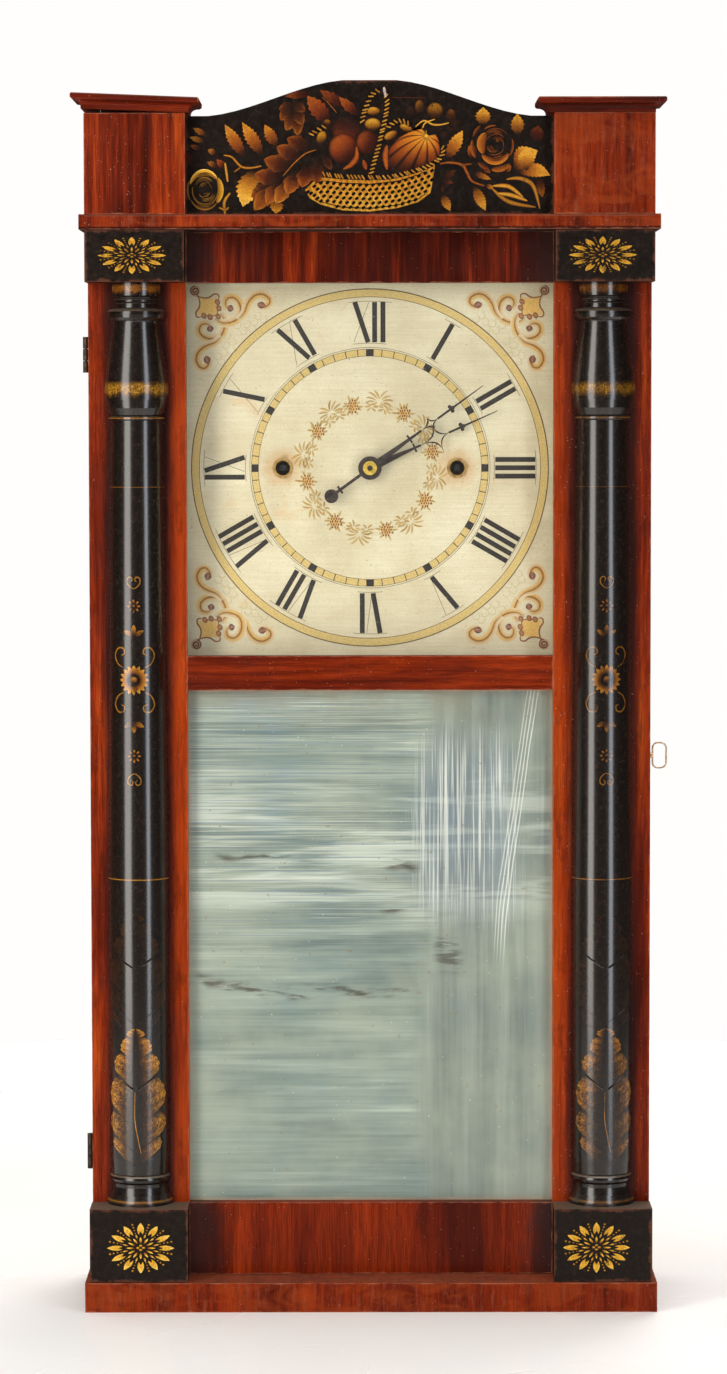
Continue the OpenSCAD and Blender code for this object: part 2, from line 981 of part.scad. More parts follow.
// Brass escape wheel in front of the plate, on its long arbor
module escape_wheel() {
  color(brass) {
    bar_y(escape_at, 7.8, 53.5, 1.5);
    gear(
      escape_at, 28.5, 34.5, small_pinion_n, third_m,
      bearing(escape_at, third_at) + 180 / small_pinion_n, 3
    );
    front_view(escape_at, 8.5, 9.2)
      difference() {
        polygon([
          for (i = [0 : escape_n - 1])
            for (k = [0 : 2])
              let (a = (i + [0.02, 0.12, 0.62][k]) * 360 / escape_n)
              (escape_r - [0, 0.1, 1.9][k]) * [cos(a), sin(a)]
        ]);
        for (q = [0 : 3])
          rotate([0, 0, q * 90])
            intersection() {
              difference() {
                circle(r = escape_r - 3.4);
                circle(r = 3);
              }
              translate([0.8, 0.8])
                square(12);
            }
      }
  }
}

// Half of the anchor, drawn from the escape wheel's centre
anchor_edge = [[0, 27.4], [6.5, 25], [10.4, 17.5], [7.8, 11.5], [7, 16], [4.4, 20.6], [0, 22.2]];

// Anchor, hub and crutch wire, turning on the pin of the front plate
module verge() {
  color(brass)
    difference() {
      union() {
        front_view(escape_at, 8.1, 9.7) {
          polygon(anchor_edge);
          mirror([1, 0])
            polygon(anchor_edge);
        }
        bar_y(verge_at, 5.8, 10.6, 3);
        translate([verge_at[0], 6.4, verge_at[1] - 48])
          cylinder(r = 0.6, h = 46);
        for (s = [-1, 1])
          translate([verge_at[0] + s * 1.8 - 0.5, 2.8, verge_at[1] - 47])
            cube([1, 4, 2]);
        translate([verge_at[0] - 2.3, 5.8, verge_at[1] - 47])
          cube([4.6, 1.2, 2]);
      }
      bar_y(verge_at, 0, 12, 1 + run_fit);
    }
}

// Wire rod with its eye, a lens-shaped bob and the rating nut under it
module pendulum() {
  color(brass)
    difference() {
      union() {
        bar_y(verge_at, 2.8, 5.2, 2.4);
        translate([verge_at[0], 4, verge_at[1] - pendulum_l - bob_r - 8])
          cylinder(r = 0.8, h = pendulum_l + bob_r + 8);
        translate([verge_at[0], 4, verge_at[1] - pendulum_l - bob_r - 5])
          cylinder(r = 3, h = 3);
        translate([verge_at[0], 4, verge_at[1] - pendulum_l])
          rotate([90, 0, 0])
            rotate_extrude()
              polygon(concat(
                [for (i = [-4 : 4]) [bob_r - 6 * (1 - cos(i * 22.5)), 4 * sin(i * 22.5)]],
                [[0, 4], [0, -4]]
              ));
      }
      bar_y(verge_at, 2, 6, 1 + run_fit);
    }
}

// ---------- Strike train ----------

module pin_wheel() {
  color(cherry) {
    arbor(pin_wheel_at, 1.8);
    gear(
      pin_wheel_at, 19.5, 25.5, small_pinion_n, strike_m,
      bearing(pin_wheel_at, strike_great_at) + 180 / small_pinion_n, 3
    );
    gear(pin_wheel_at, 29.5, 32.5, pin_wheel_n, pin_m, bearing(pin_wheel_at, fly_at));
    for (i = [0 : 7])
      bar_y(pin_wheel_at + 21 * [cos(i * 45 + 10), sin(i * 45 + 10)], 26, 29.5, 1);
  }
}

module fly() {
  color(cherry) {
    arbor(fly_at, 1.6);
    gear(
      fly_at, 28.5, 33.5, small_pinion_n, pin_m,
      bearing(fly_at, pin_wheel_at) + 180 / small_pinion_n, 3
    );
    front_view(fly_at, 36, 46)
      rotate([0, 0, 20])
        square([42, 1.2], center = true);
  }
}

// Hammer with its tail beside the pin wheel and its head beside the bell
module hammer() {
  tail_u = (pin_wheel_at - hammer_at) / norm(pin_wheel_at - hammer_at);
  color(steel) {
    arbor(hammer_at, 1.6);
    bar_y(hammer_at, 26.3, 29.2, 3);
    bar_y(hammer_at, 38, 42, 3);
    front_view(hammer_at, 26.3, 29.2)
      bar_2d([0, 0], tail_u * 14, 2);
    front_view(hammer_at, 39.2, 40.8)
      bar_2d([0, 0], [8, bell_at[1] - hammer_at[1]], 1.6);
    translate([bell_at[0] - 43, 40, bell_at[1]])
      rotate([0, 90, 0])
        cylinder(r = 4, h = 14.4);
  }
}

// ---------- Weights, pulleys and cords ----------

// A driving weight, drawn on the right
module weight() {
  translate([drop_x, cord_y, weight_z])
    cylinder(r = weight_r, h = weight_l);
  translate([drop_x, cord_y, weight_z + weight_l])
    cylinder(r = 3, h = 5.5);
  translate([drop_x, cord_y, eye_z])
    rotate([90, 0, 0])
      rotate_extrude()
        translate([eye_r, 0])
          circle(r = eye_wire_r);
}

module time_weight() {
  color(cast_iron)
    weight();
}

module strike_weight() {
  color(cast_iron)
    mirror_x()
      weight();
}

// A grooved pulley with its axle, drawn on the right
module pulley() {
  bar_y(pulley_at, cord_y - 7, cord_y + 7, 1.5);
  translate([pulley_x, cord_y, pulley_z])
    rotate([90, 0, 0])
      rotate_extrude()
        difference() {
          translate([0, -3])
            square([16, 6]);
          translate([pulley_cord_r + 0.3, 0])
            circle(r = 1.4);
          translate([pulley_cord_r + 0.3, -1.4])
            square([5, 2.8]);
        }
}

module time_pulley() {
  color(cherry)
    pulley();
}

module strike_pulley() {
  color(cherry)
    mirror_x()
      pulley();
}

// Points on an arc around [x, z], every ten degrees or less
function arc_points(at, r, a0, a1) =
  let (n = ceil(abs(a1 - a0) / 10))
  [for (i = [0 : n]) let (a = a0 + (a1 - a0) * i / n) at + r * [cos(a), sin(a)]];

// Direction of a line of points at point i
function heading(p, i) =
  let (d = p[min(i + 1, len(p) - 1)] - p[max(i - 1, 0)])
  d / norm(d);

// A cord swept along points [x, z] in the plane of the cords
module cord_sweep(p) {
  last = len(p) - 1;
  polyhedron(
    points = [
      for (i = [0 : last])
        for (k = [0 : cord_sides - 1])
          let (d = heading(p, i), a = k * 360 / cord_sides, c = cord_r * cos(a))
          [p[i][0] - d[1] * c, cord_y + cord_r * sin(a), p[i][1] + d[0] * c]
    ],
    faces = concat(
      [[for (k = [0 : cord_sides - 1]) cord_sides - 1 - k]],
      [
        for (i = [0 : last - 1])
          for (k = [0 : cord_sides - 1])
            let (m = (k + 1) % cord_sides, q = i * cord_sides)
            [q + k, q + m, q + m + cord_sides, q + k + cord_sides]
      ],
      [[for (k = [0 : cord_sides - 1]) last * cord_sides + k]]
    )
  );
}

// Cord from its last turn on the drum, up to the pulley and over it
module cord_run() {
  cord_sweep(concat(
    arc_points(time_great_at, drum_cord_r, cord_normal - 330, cord_normal),
    arc_points(pulley_at, pulley_cord_r, cord_normal + 180, 0),
    [[drop_x, drop_top]]
  ));
}

module time_cord_run() {
  color(cord_colour)
    cord_run();
}

module strike_cord_run() {
  color(cord_colour)
    mirror_x()
      cord_run();
}

// Cord hanging from the pulley to the weight
module cord_drop() {
  translate([drop_x, cord_y, drop_z])
    cylinder(r = cord_r, h = drop_top - drop_z, $fn = 24);
}

module time_cord_drop() {
  color(cord_colour)
    cord_drop();
}

module strike_cord_drop() {
  color(cord_colour)
    mirror_x()
      cord_drop();
}

base();
case_side_left();
case_side_right();
top_board();
backboard();
cornice();
pedestal_left();
pedestal_right();
cap_left();
cap_right();
cap_nails();
splat();
movement_rails();
dial_board();
winding_bushes();
front_plate();
back_plate();
bell();
hinge_case_leaves();
time_cord_run();
strike_cord_run();
time_cord_drop();
strike_cord_drop();
stile_left();
stile_right();
rail_top();
rail_mid();
rail_bottom();
block_top_left();
block_top_right();
block_bottom_left();
block_bottom_right();
column_left();
column_right();
dial_glass();
looking_glass();
glass_backing();
hinge_door_leaves();
door_latch();
minute_hand();
hand_washer();
hour_hand();
minute_arbor();
hour_wheel();
minute_wheel();
time_great_wheel();
time_drum();
third_wheel();
escape_wheel();
verge();
pendulum();
strike_great_wheel();
strike_drum();
pin_wheel();
fly();
hammer();
time_weight();
strike_weight();
time_pulley();
strike_pulley();
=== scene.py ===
"""Stencilled half-column and splat shelf clock: materials, painted work and cords round its CAD frame.

Coordinates are in the frame's own axes: metres, +Z up, the clock's front towards -Y.
"""
import math
import random

import bpy
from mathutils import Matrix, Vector


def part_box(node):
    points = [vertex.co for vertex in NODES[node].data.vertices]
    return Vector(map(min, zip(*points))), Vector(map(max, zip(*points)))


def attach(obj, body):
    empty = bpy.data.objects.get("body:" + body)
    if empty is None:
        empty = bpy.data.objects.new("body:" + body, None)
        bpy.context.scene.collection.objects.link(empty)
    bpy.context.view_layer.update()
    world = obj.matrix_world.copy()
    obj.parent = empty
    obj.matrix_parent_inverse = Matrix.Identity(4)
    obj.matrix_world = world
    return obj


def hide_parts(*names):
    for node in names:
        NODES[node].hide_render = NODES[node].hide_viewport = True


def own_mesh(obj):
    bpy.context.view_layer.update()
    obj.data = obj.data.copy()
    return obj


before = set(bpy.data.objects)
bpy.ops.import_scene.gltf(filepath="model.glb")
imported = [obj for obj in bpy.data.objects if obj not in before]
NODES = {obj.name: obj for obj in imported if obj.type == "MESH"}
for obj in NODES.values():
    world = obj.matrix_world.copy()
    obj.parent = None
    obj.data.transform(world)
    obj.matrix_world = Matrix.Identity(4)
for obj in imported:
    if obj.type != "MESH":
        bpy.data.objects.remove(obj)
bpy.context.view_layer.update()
MM = 0.001

# ---------------------------------------------------------------- camera and light

PHOTO_LENS = 110.0
CAMERA_AT = (-0.0036, -3.095, 0.653)
CAMERA_PITCH = 3.71
CAMERA_YAW = 0.02
CAMERA_ROLL = 0.08
WARM, COOL, WHITE = (1, 0.965, 0.91), (0.86, 0.92, 1), (1, 0.98, 0.95)
SOFTBOX_Z, SOFTBOX_HEIGHT = 0.62, 2.2
GLINT_AHEAD = 0.06
# side, angle from straight ahead, distance, width and power, width and power of its glint, and colour
SIDE_LIGHTS = [("left", -42, 1.7, 0.5, 26, 0.7, 40, WARM), ("right", 35, 1.8, 0.3, 9.5, 0.42, 24, COOL)]


def make_camera():
    """The camera that looks at the front from a little above the middle."""
    data = bpy.data.cameras.new("camera")
    data.lens = PHOTO_LENS
    data.sensor_width = 36
    camera = bpy.data.objects.new("camera", data)
    camera.location = CAMERA_AT
    camera.rotation_euler = [math.radians(a) for a in (90 - CAMERA_PITCH, CAMERA_ROLL, CAMERA_YAW)]
    bpy.context.scene.collection.objects.link(camera)
    bpy.context.scene.camera = camera


def softbox(name, centre, target, width, height, power, tint):
    """A flat studio light that faces a point."""
    data = bpy.data.lights.new(name, "AREA")
    data.shape = "RECTANGLE"
    data.size, data.size_y = width, height
    data.energy = power
    data.color = tint
    light = bpy.data.objects.new(name, data)
    light.location = centre
    light.rotation_euler = (Vector(target) - Vector(centre)).to_track_quat("-Z", "Y").to_euler()
    light.visible_camera = False
    bpy.context.scene.collection.objects.link(light)
    return light


def around(angle, distance, z):
    """A point at an angle from straight ahead of the clock, positive to the right."""
    a = math.radians(angle)
    return (distance * math.sin(a), -distance * math.cos(a), z)


def make_lights():
    """Two tall softboxes in front, each with a twin that only polish mirrors, and a white surround."""
    middle = (0, 0, 0.45)
    for side, angle, distance, width, power, glint_width, glint_power, tint in SIDE_LIGHTS:
        centre = around(angle, distance, SOFTBOX_Z)
        box = softbox("softbox_" + side, centre, middle, width, SOFTBOX_HEIGHT, power, tint)
        box.visible_glossy = False
        nearer = around(angle, distance - GLINT_AHEAD, SOFTBOX_Z)
        glint = softbox("glint_" + side, nearer, middle, glint_width, SOFTBOX_HEIGHT, glint_power, tint)
        glint.visible_diffuse = False
    softbox("softbox_top", (0, 0.3, 3.2), (0, 0.3, 0), 4.0, 4.0, 150, (1, 0.985, 0.96))
    fill = softbox("softbox_front", around(-6, 2.9, 1.1), middle, 1.8, 1.8, 20, WHITE)
    fill.visible_glossy = False
    behind = softbox("softbox_back", around(160, 2.2, 0.9), middle, 1.6, 1.8, 60, WHITE)
    behind.visible_glossy = False
    world = bpy.data.worlds.new("studio")
    bpy.context.scene.world = world
    world.use_nodes = True
    tree = world.node_tree
    back = tree.nodes["Background"]
    back.inputs["Color"].default_value = (1, 0.99, 0.975, 1)
    path = tree.nodes.new("ShaderNodeLightPath")
    level = tree.nodes.new("ShaderNodeMapRange")
    level.inputs["To Min"].default_value = 0.035
    level.inputs["To Max"].default_value = 1.0
    tree.links.new(path.outputs["Is Camera Ray"], level.inputs["Value"])
    tree.links.new(level.outputs[0], back.inputs["Strength"])


# ---------------------------------------------------------------- materials


def colour(code):
    """A linear colour from a hexadecimal sRGB code."""
    parts = [int(code[i:i + 2], 16) / 255 for i in (0, 2, 4)]
    return tuple(p / 12.92 if p < 0.04045 else ((p + 0.055) / 1.055) ** 2.4 for p in parts) + (1,)


def rgb(code):
    """The same without its alpha."""
    return colour(code)[:3]


class Shader:
    """A material with a node tree that is built with short calls. Lengths are in metres."""

    def __init__(self, name, **sockets):
        self.material = bpy.data.materials.new(name)
        self.material.use_nodes = True
        self.tree = self.material.node_tree
        self.surface = self.tree.nodes["Principled BSDF"]
        self.put(self.surface, sockets)
        place = self.tree.nodes.new("ShaderNodeTexCoord")
        self.place = place.outputs["Object"]
        self.normal = place.outputs["Normal"]

    def put(self, node, sockets):
        """Links or sets each named or numbered input."""
        for name, value in sockets.items():
            socket = node.inputs[name if isinstance(name, int) else name.replace("_", " ")]
            if isinstance(value, bpy.types.NodeSocket):
                self.tree.links.new(value, socket)
            else:
                socket.default_value = value

    def add(self, kind, settings=None, **sockets):
        """A new node of that kind."""
        node = self.tree.nodes.new("ShaderNode" + kind)
        for key, value in (settings or {}).items():
            setattr(node, key, value)
        self.put(node, sockets)
        return node

    def math(self, operation, *values):
        """The result of a Math node. The next functions are short names for the usual ones."""
        node = self.add("Math", {"operation": operation})
        self.put(node, dict(enumerate(values)))
        return node.outputs[0]

    def times(self, a, b):
        return self.math("MULTIPLY", a, b)

    def plus(self, a, b):
        return self.math("ADD", a, b)

    def minus(self, a, b):
        return self.math("SUBTRACT", a, b)

    def least(self, a, b):
        return self.math("MINIMUM", a, b)

    def most(self, a, b):
        return self.math("MAXIMUM", a, b)

    def size(self, value):
        return self.math("ABSOLUTE", value)

    def length(self, across, up):
        """The length of a line with those two sides."""
        return self.math("SQRT", self.plus(self.math("POWER", across, 2.0), self.math("POWER", up, 2.0)))

    def mix(self, factor, a, b, blend="MIX"):
        """Two colours mixed."""
        node = self.add("Mix", {"data_type": "RGBA", "blend_type": blend})
        self.put(node, {0: factor, 6: a, 7: b})
        return node.outputs[2]

    def tint(self, base, cover, code, share=None):
        """A colour covered by another as far as cover says, or by that share of it."""
        if share is not None:
            cover = self.times(cover, share)
        return self.mix(cover, base, colour(code))

    def step(self, value, low, high, to_low=0.0, to_high=1.0):
        """value taken smoothly from to_low at low to to_high at high."""
        node = self.add("MapRange", {"interpolation_type": "SMOOTHSTEP"}, Value=value)
        self.put(node, {"From Min": low, "From Max": high, "To Min": to_low, "To Max": to_high})
        return node.outputs[0]

    def between(self, value, low, high, fall, end):
        """1 from high to fall, and smoothly down to 0 at low and at end."""
        return self.times(self.step(value, low, high), self.step(value, end, fall))

    def ramp(self, value, *stops):
        """A colour ramp through (position, hexadecimal colour) stops."""
        node = self.add("ValToRGB", Fac=value)
        elements = node.color_ramp.elements
        while len(elements) < len(stops):
            elements.new(0.5)
        for element, (position, code) in zip(elements, stops):
            element.position = position
            element.color = colour(code)
        return node.outputs[0]

    def noise(self, cells, detail=3.0, rough=0.55, twist=0.0, shift=(0, 0, 0)):
        """Noise with that many cells to a metre along each axis."""
        if not isinstance(cells, tuple):
            cells = (cells, cells, cells)
        mapped = self.add("Mapping", Vector=self.place, Scale=cells, Location=shift).outputs[0]
        sockets = {"Scale": 1.0, "Detail": detail, "Roughness": rough, "Distortion": twist}
        return self.add("TexNoise", Vector=mapped, **sockets).outputs[0]

    def axes(self):
        """The three coordinates of the point."""
        return self.add("SeparateXYZ", Vector=self.place).outputs

    def specks(self, cells, share, shift=(0, 0, 0)):
        """Small dots over about that share of the surface, with cells to a metre."""
        return self.step(self.noise(cells, 1.0, 0.5, 0.0, shift), 0.78 - share, 0.8 - share)

    def edge_distance(self, low, high):
        """Distance from the nearest edge of a box, for a point on one of its faces."""
        gaps = []
        for axis, lo, hi in zip(self.axes(), low, high):
            from_low = self.minus(axis, lo)
            from_high = self.minus(hi, axis)
            gaps.append(self.least(from_low, from_high))
        a, b, c = gaps
        larger = self.least(self.most(a, b), c)
        return self.most(self.least(a, b), larger)

    def facing(self, axis, sign):
        """1 where the surface faces along that axis, and 0 elsewhere."""
        part = self.add("SeparateXYZ", Vector=self.normal).outputs[axis]
        return self.step(self.times(part, sign), 0.4, 0.6)

    def bump(self, height, depth):
        """Relief of that depth in metres."""
        node = self.add("Bump", Height=height, Distance=depth, Strength=1.0)
        self.put(self.surface, {"Normal": node.outputs[0]})

    def finish(self, base, rough=None):
        """Sets the colour and the roughness, and returns the material."""
        self.put(self.surface, {"Base Color": base})
        if rough is not None:
            self.put(self.surface, {"Roughness": rough})
        return self.material


def stretched(along, fine, coarse):
    """Cells to a metre for a pattern drawn out along one axis."""
    return tuple(coarse if axis == along else fine for axis in range(3))


def pine_colour(s, along, shift):
    """Colour of old bare pine, with grain along that axis."""
    rings = s.noise(stretched(along, 170, 5), 4, 0.6, 0.8, shift)
    base = s.ramp(rings, (0.25, "7d5a34"), (0.5, "a98452"), (0.75, "c3a06c"))
    dirt = s.step(s.noise(stretched(along, 26, 3), 5, 0.65, 0.3, shift), 0.4, 0.75)
    base = s.tint(base, dirt, "5d4327", 0.45)
    return s.tint(base, s.specks(240, 0.03, shift), "4b3520", 0.5), rings


def bare_face(s, bare, along, shift, base, rough):
    """The colour and roughness with the face bare, which is (axis, sign), left as pine."""
    wood, _ = pine_colour(s, along, shift)
    face = s.facing(*bare)
    return s.mix(face, base, wood), s.plus(rough, s.times(face, 0.35))


def mahogany(name, along, shift, low, high, bright=0.5, contrast=1.0, extra=None, bare=None):
    """Old varnished mahogany: drawn-out figure, fine pores, worn edges and dust.

    extra(shader, base) changes the colour for one piece, and bare is (axis, sign) of a face left as pine.
    """
    s = Shader(name, Coat_Weight=0.06, Coat_Roughness=0.15, Specular_IOR_Level=0.05)
    figure = s.noise(stretched(along, 34, 3.2), 4, 0.6, 0.7, shift)
    streaks = s.noise(stretched(along, 240, 7), 3, 0.6, 0.3, shift)
    pores = s.noise(stretched(along, 1500, 60), 2, 0.6, 0.0, shift)
    tone = s.plus(s.times(figure, 0.62), s.times(streaks, 0.38))
    spread = 0.16 / contrast
    middle = 0.5 + (0.5 - bright) * 0.3
    base = s.ramp(
        tone, (middle - spread, "3a0d03"), (middle - spread * 0.35, "651a05"),
        (middle + spread * 0.35, "8b2b07"), (middle + spread, "ad450f"),
    )
    base = s.tint(base, s.step(pores, 0.3, 0.62, 0.55, 0.0), "2c0b04")
    if extra:
        base = extra(s, base)
    edge = s.edge_distance(low, high)
    rub = s.plus(edge, s.times(s.noise(90, 3, 0.6, 0.0, shift), 0.0035))
    base = s.tint(base, s.step(rub, 0.0016, 0.0026, 0.55, 0.0), "a4664b")
    base = s.tint(base, s.specks(900, 0.02, shift), "d9b9a4", 0.5)
    top = s.facing(2, 1)
    base = s.tint(base, top, "7d5a46", 0.25)
    rough = s.step(s.noise(40, 3, 0.6, 0.0, shift), 0.3, 0.7, 0.27, 0.46)
    rough = s.plus(rough, s.times(top, 0.45))
    if bare:
        base, rough = bare_face(s, bare, along, shift, base, rough)
    s.bump(s.plus(s.times(pores, 0.5), streaks), 0.00012)
    return s.finish(base, rough)


def paint(name, material):
    """Gives a CAD node its material."""
    mesh_object = NODES[name]
    if not mesh_object.material_slots:
        mesh_object.data.materials.append(material)
    for slot in mesh_object.material_slots:
        slot.material = material


# for each varnished node: rubbing of its edges, a face left bare, share of dust, coat and coat roughness
LACQUERED = {
    "block_top_left": (0.75, None, 0.05, 0.12, 0.3),
    "block_top_right": (0.75, None, 0.04, 0.12, 0.3),
    "block_bottom_left": (0.75, None, 0.04, 0.12, 0.3),
    "block_bottom_right": (0.75, None, 0.05, 0.12, 0.3),
    "column_left": (0.25, None, 0.03, 0.85, 0.18),
    "column_right": (0.25, None, 0.03, 0.85, 0.18),
    "splat": (0.7, (1, 1), 0.05, 0.1, 0.3),
}


def lacquer(node, worn=None):
    """The black varnish of a node, or with worn set, the same varnish under paint that is worn so much."""
    wear, bare, dust, coat, gloss = LACQUERED[node]
    low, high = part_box(node)
    shift = (1.3 * list(LACQUERED).index(node), 0, 1)
    name = ("lacquer_" if worn is None else "stencilled_") + node
    s = Shader(name, Coat_Weight=coat, Coat_Roughness=gloss, Specular_IOR_Level=0.06)
    mottled = s.noise(330, 5, 0.7, 0.0, shift)
    base = s.ramp(mottled, (0.35, "110b08"), (0.58, "19110b"), (0.8, "33221a"))
    edge = s.edge_distance(low, high)
    rub = s.plus(edge, s.times(s.noise(110, 5, 0.75, 0.0, shift), 0.012))
    base = s.tint(base, s.step(rub, 0.0058, 0.0082, wear, 0.0), "5c3424")
    ledge = s.times(s.facing(2, 1), s.step(mottled, 0.3, 0.6, 0.35, 0.75))
    base = s.tint(base, ledge, "6d5f50")
    base = s.tint(base, s.specks(1500, dust, shift), "776a5c", 0.5)
    if worn is not None:
        base = ink_cover(s, base, worn)
    rough = s.step(mottled, 0.3, 0.7, 0.3, 0.5)
    if bare:
        base, rough = bare_face(s, bare, 0, shift, base, rough)
    s.bump(s.noise(stretched(2, 700, 160), 3, 0.6, 0.0, shift), 0.00006)
    return s.finish(base, rough)


def pine(name, along, shift, shaded_and_grimed_below=False):
    """Old bare pine board, with its underside darkened near black if asked: partly grime and partly painted
    shade.
    """
    s = Shader(name)
    base, rings = pine_colour(s, along, shift)
    if shaded_and_grimed_below:
        # downward faces darkened: partly grime, partly painted shade
        base = s.tint(base, s.facing(2, -1), "1c0906")
    saw = s.noise(stretched(along, 25, 330), 2, 0.5, 0.0, shift)
    s.bump(s.plus(rings, s.times(saw, 0.8)), 0.0002)
    return s.finish(base, s.step(rings, 0.3, 0.7, 0.68, 0.82))


def movement_wood(name, along, dark, light, shift=(0, 0, 0), iron_core=False):
    """Close-grained oiled wood of the plates and wheels, with iron near a winding arbor's line if asked."""
    s = Shader(name)
    rings = s.noise(stretched(along, 260, 9), 4, 0.6, 0.5, shift)
    base = s.ramp(rings, (0.3, dark), (0.7, light))
    grime = s.step(s.noise(55, 4, 0.65, 0.0, shift), 0.45, 0.75)
    base = s.tint(base, grime, "2f1c0f", 0.5)
    if iron_core:
        x, _, z = s.axes()
        away = s.length(s.minus(s.size(x), WIND_X), s.minus(z, DIAL_Z))
        rust = s.mix(s.noise(600, 3, 0.6), colour("090706"), colour("1b1512"))
        base = s.mix(s.step(away, 0.0049, 0.0052, 1.0, 0.0), base, rust)
    s.bump(rings, 0.0001)
    return s.finish(base, s.step(grime, 0, 1, 0.42, 0.6))


def metal(name, dark, light, low_rough, high_rough, metallic=1.0, cells=260, depth=0.00004, stretch=None):
    """Metal with tarnish in patches and fine scratches."""
    s = Shader(name, Metallic=metallic)
    patches = s.noise(cells, 4, 0.65)
    scratches = s.noise(stretch or (3000, 3000, 300), 2, 0.6)
    base = s.ramp(patches, (0.35, dark), (0.65, light))
    s.bump(s.plus(scratches, patches), depth)
    return s.finish(base, s.step(patches, 0.3, 0.7, high_rough, low_rough))


def ink_cover(s, base, worn=0.35):
    """Puts the painted colour that a mesh carries in its "ink" attribute over the base colour."""
    ink = s.add("Attribute", {"attribute_name": "ink"})
    grains = s.noise(1500, 2, 0.7)
    patches = s.noise(150, 3, 0.65, 0.0, (2, 2, 2))
    tone = s.plus(s.times(grains, 0.45), s.times(patches, 0.55))
    edge = 0.66 - 0.12 * worn
    chips = s.step(tone, edge, edge + 0.05, 0.0, 0.85)
    cover = s.times(ink.outputs["Alpha"], s.minus(1.0, chips))
    light = s.mix(s.step(grains, 0.3, 0.7), (0.72, 0.72, 0.72, 1), (1.25, 1.25, 1.25, 1))
    return s.mix(cover, base, s.mix(1.0, ink.outputs["Color"], light, "MULTIPLY"))


def dial_paint(name, inked=False):
    """Cream paint on a wooden board: brushed, crazed, foxed, stained round the winding holes, and with
    painted shade along its edges.
    """
    s = Shader(name, Coat_Weight=0.1, Coat_Roughness=0.3, Specular_IOR_Level=0.3)
    grain = s.noise(stretched(0, 1300, 28), 3, 0.65)
    clouds = s.noise(22, 4, 0.6)
    base = s.ramp(clouds, (0.3, "c9be9b"), (0.5, "d6cdaa"), (0.72, "dfd9b9"))
    base = s.tint(base, s.step(grain, 0.35, 0.66, 0.17, 0.0), "a8946a")
    base = s.tint(base, s.step(s.noise(900, 2, 0.6), 0.35, 0.6, 0.12, 0.0), "a39468")
    x, _, z = s.axes()
    lo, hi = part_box("dial_board")
    rim = s.least(s.minus(z, lo.z), s.minus(hi.z, z))
    side = s.minus(WINDOW_HALF, s.size(x))
    # painted shade along the board's top and bottom and the window's sides, where the frame shadows the dial
    frame_shade = s.step(s.plus(s.least(rim, side), s.times(clouds, 0.03)), 0.008, 0.03, 0.25, 0)
    base = s.tint(base, frame_shade, "aaa27c")
    for hole in (-WIND_X, WIND_X):
        away = s.length(s.minus(x, hole), s.minus(z, DIAL_Z))
        away = s.plus(away, s.times(s.noise(110, 4, 0.65), 0.016))
        base = s.tint(base, s.step(away, 0.014, 0.027, 0.55, 0.0), "c08a45")
        base = s.tint(base, s.step(away, 0.012, 0.0165, 0.5, 0.0), "6b4520")
    stain = s.step(s.noise((26, 1, 40), 4, 0.6, 0.3, (6, 0, 2)), 0.6, 0.75, 0.0, 0.4)
    base = s.tint(base, stain, "d0a368")
    base = s.tint(base, s.specks(700, 0.03), "8a6a3f", 0.7)
    base = s.tint(base, s.specks(1300, 0.03, (3, 1, 4)), "5b4a33", 0.6)
    if inked:
        base = ink_cover(s, base, 0.25)
    wood, _ = pine_colour(s, 0, (2, 0, 1))
    base = s.mix(s.facing(1, 1), base, wood)
    s.bump(s.plus(grain, s.times(clouds, 0.4)), 0.00006)
    return s.finish(base, s.step(clouds, 0.3, 0.7, 0.42, 0.6))


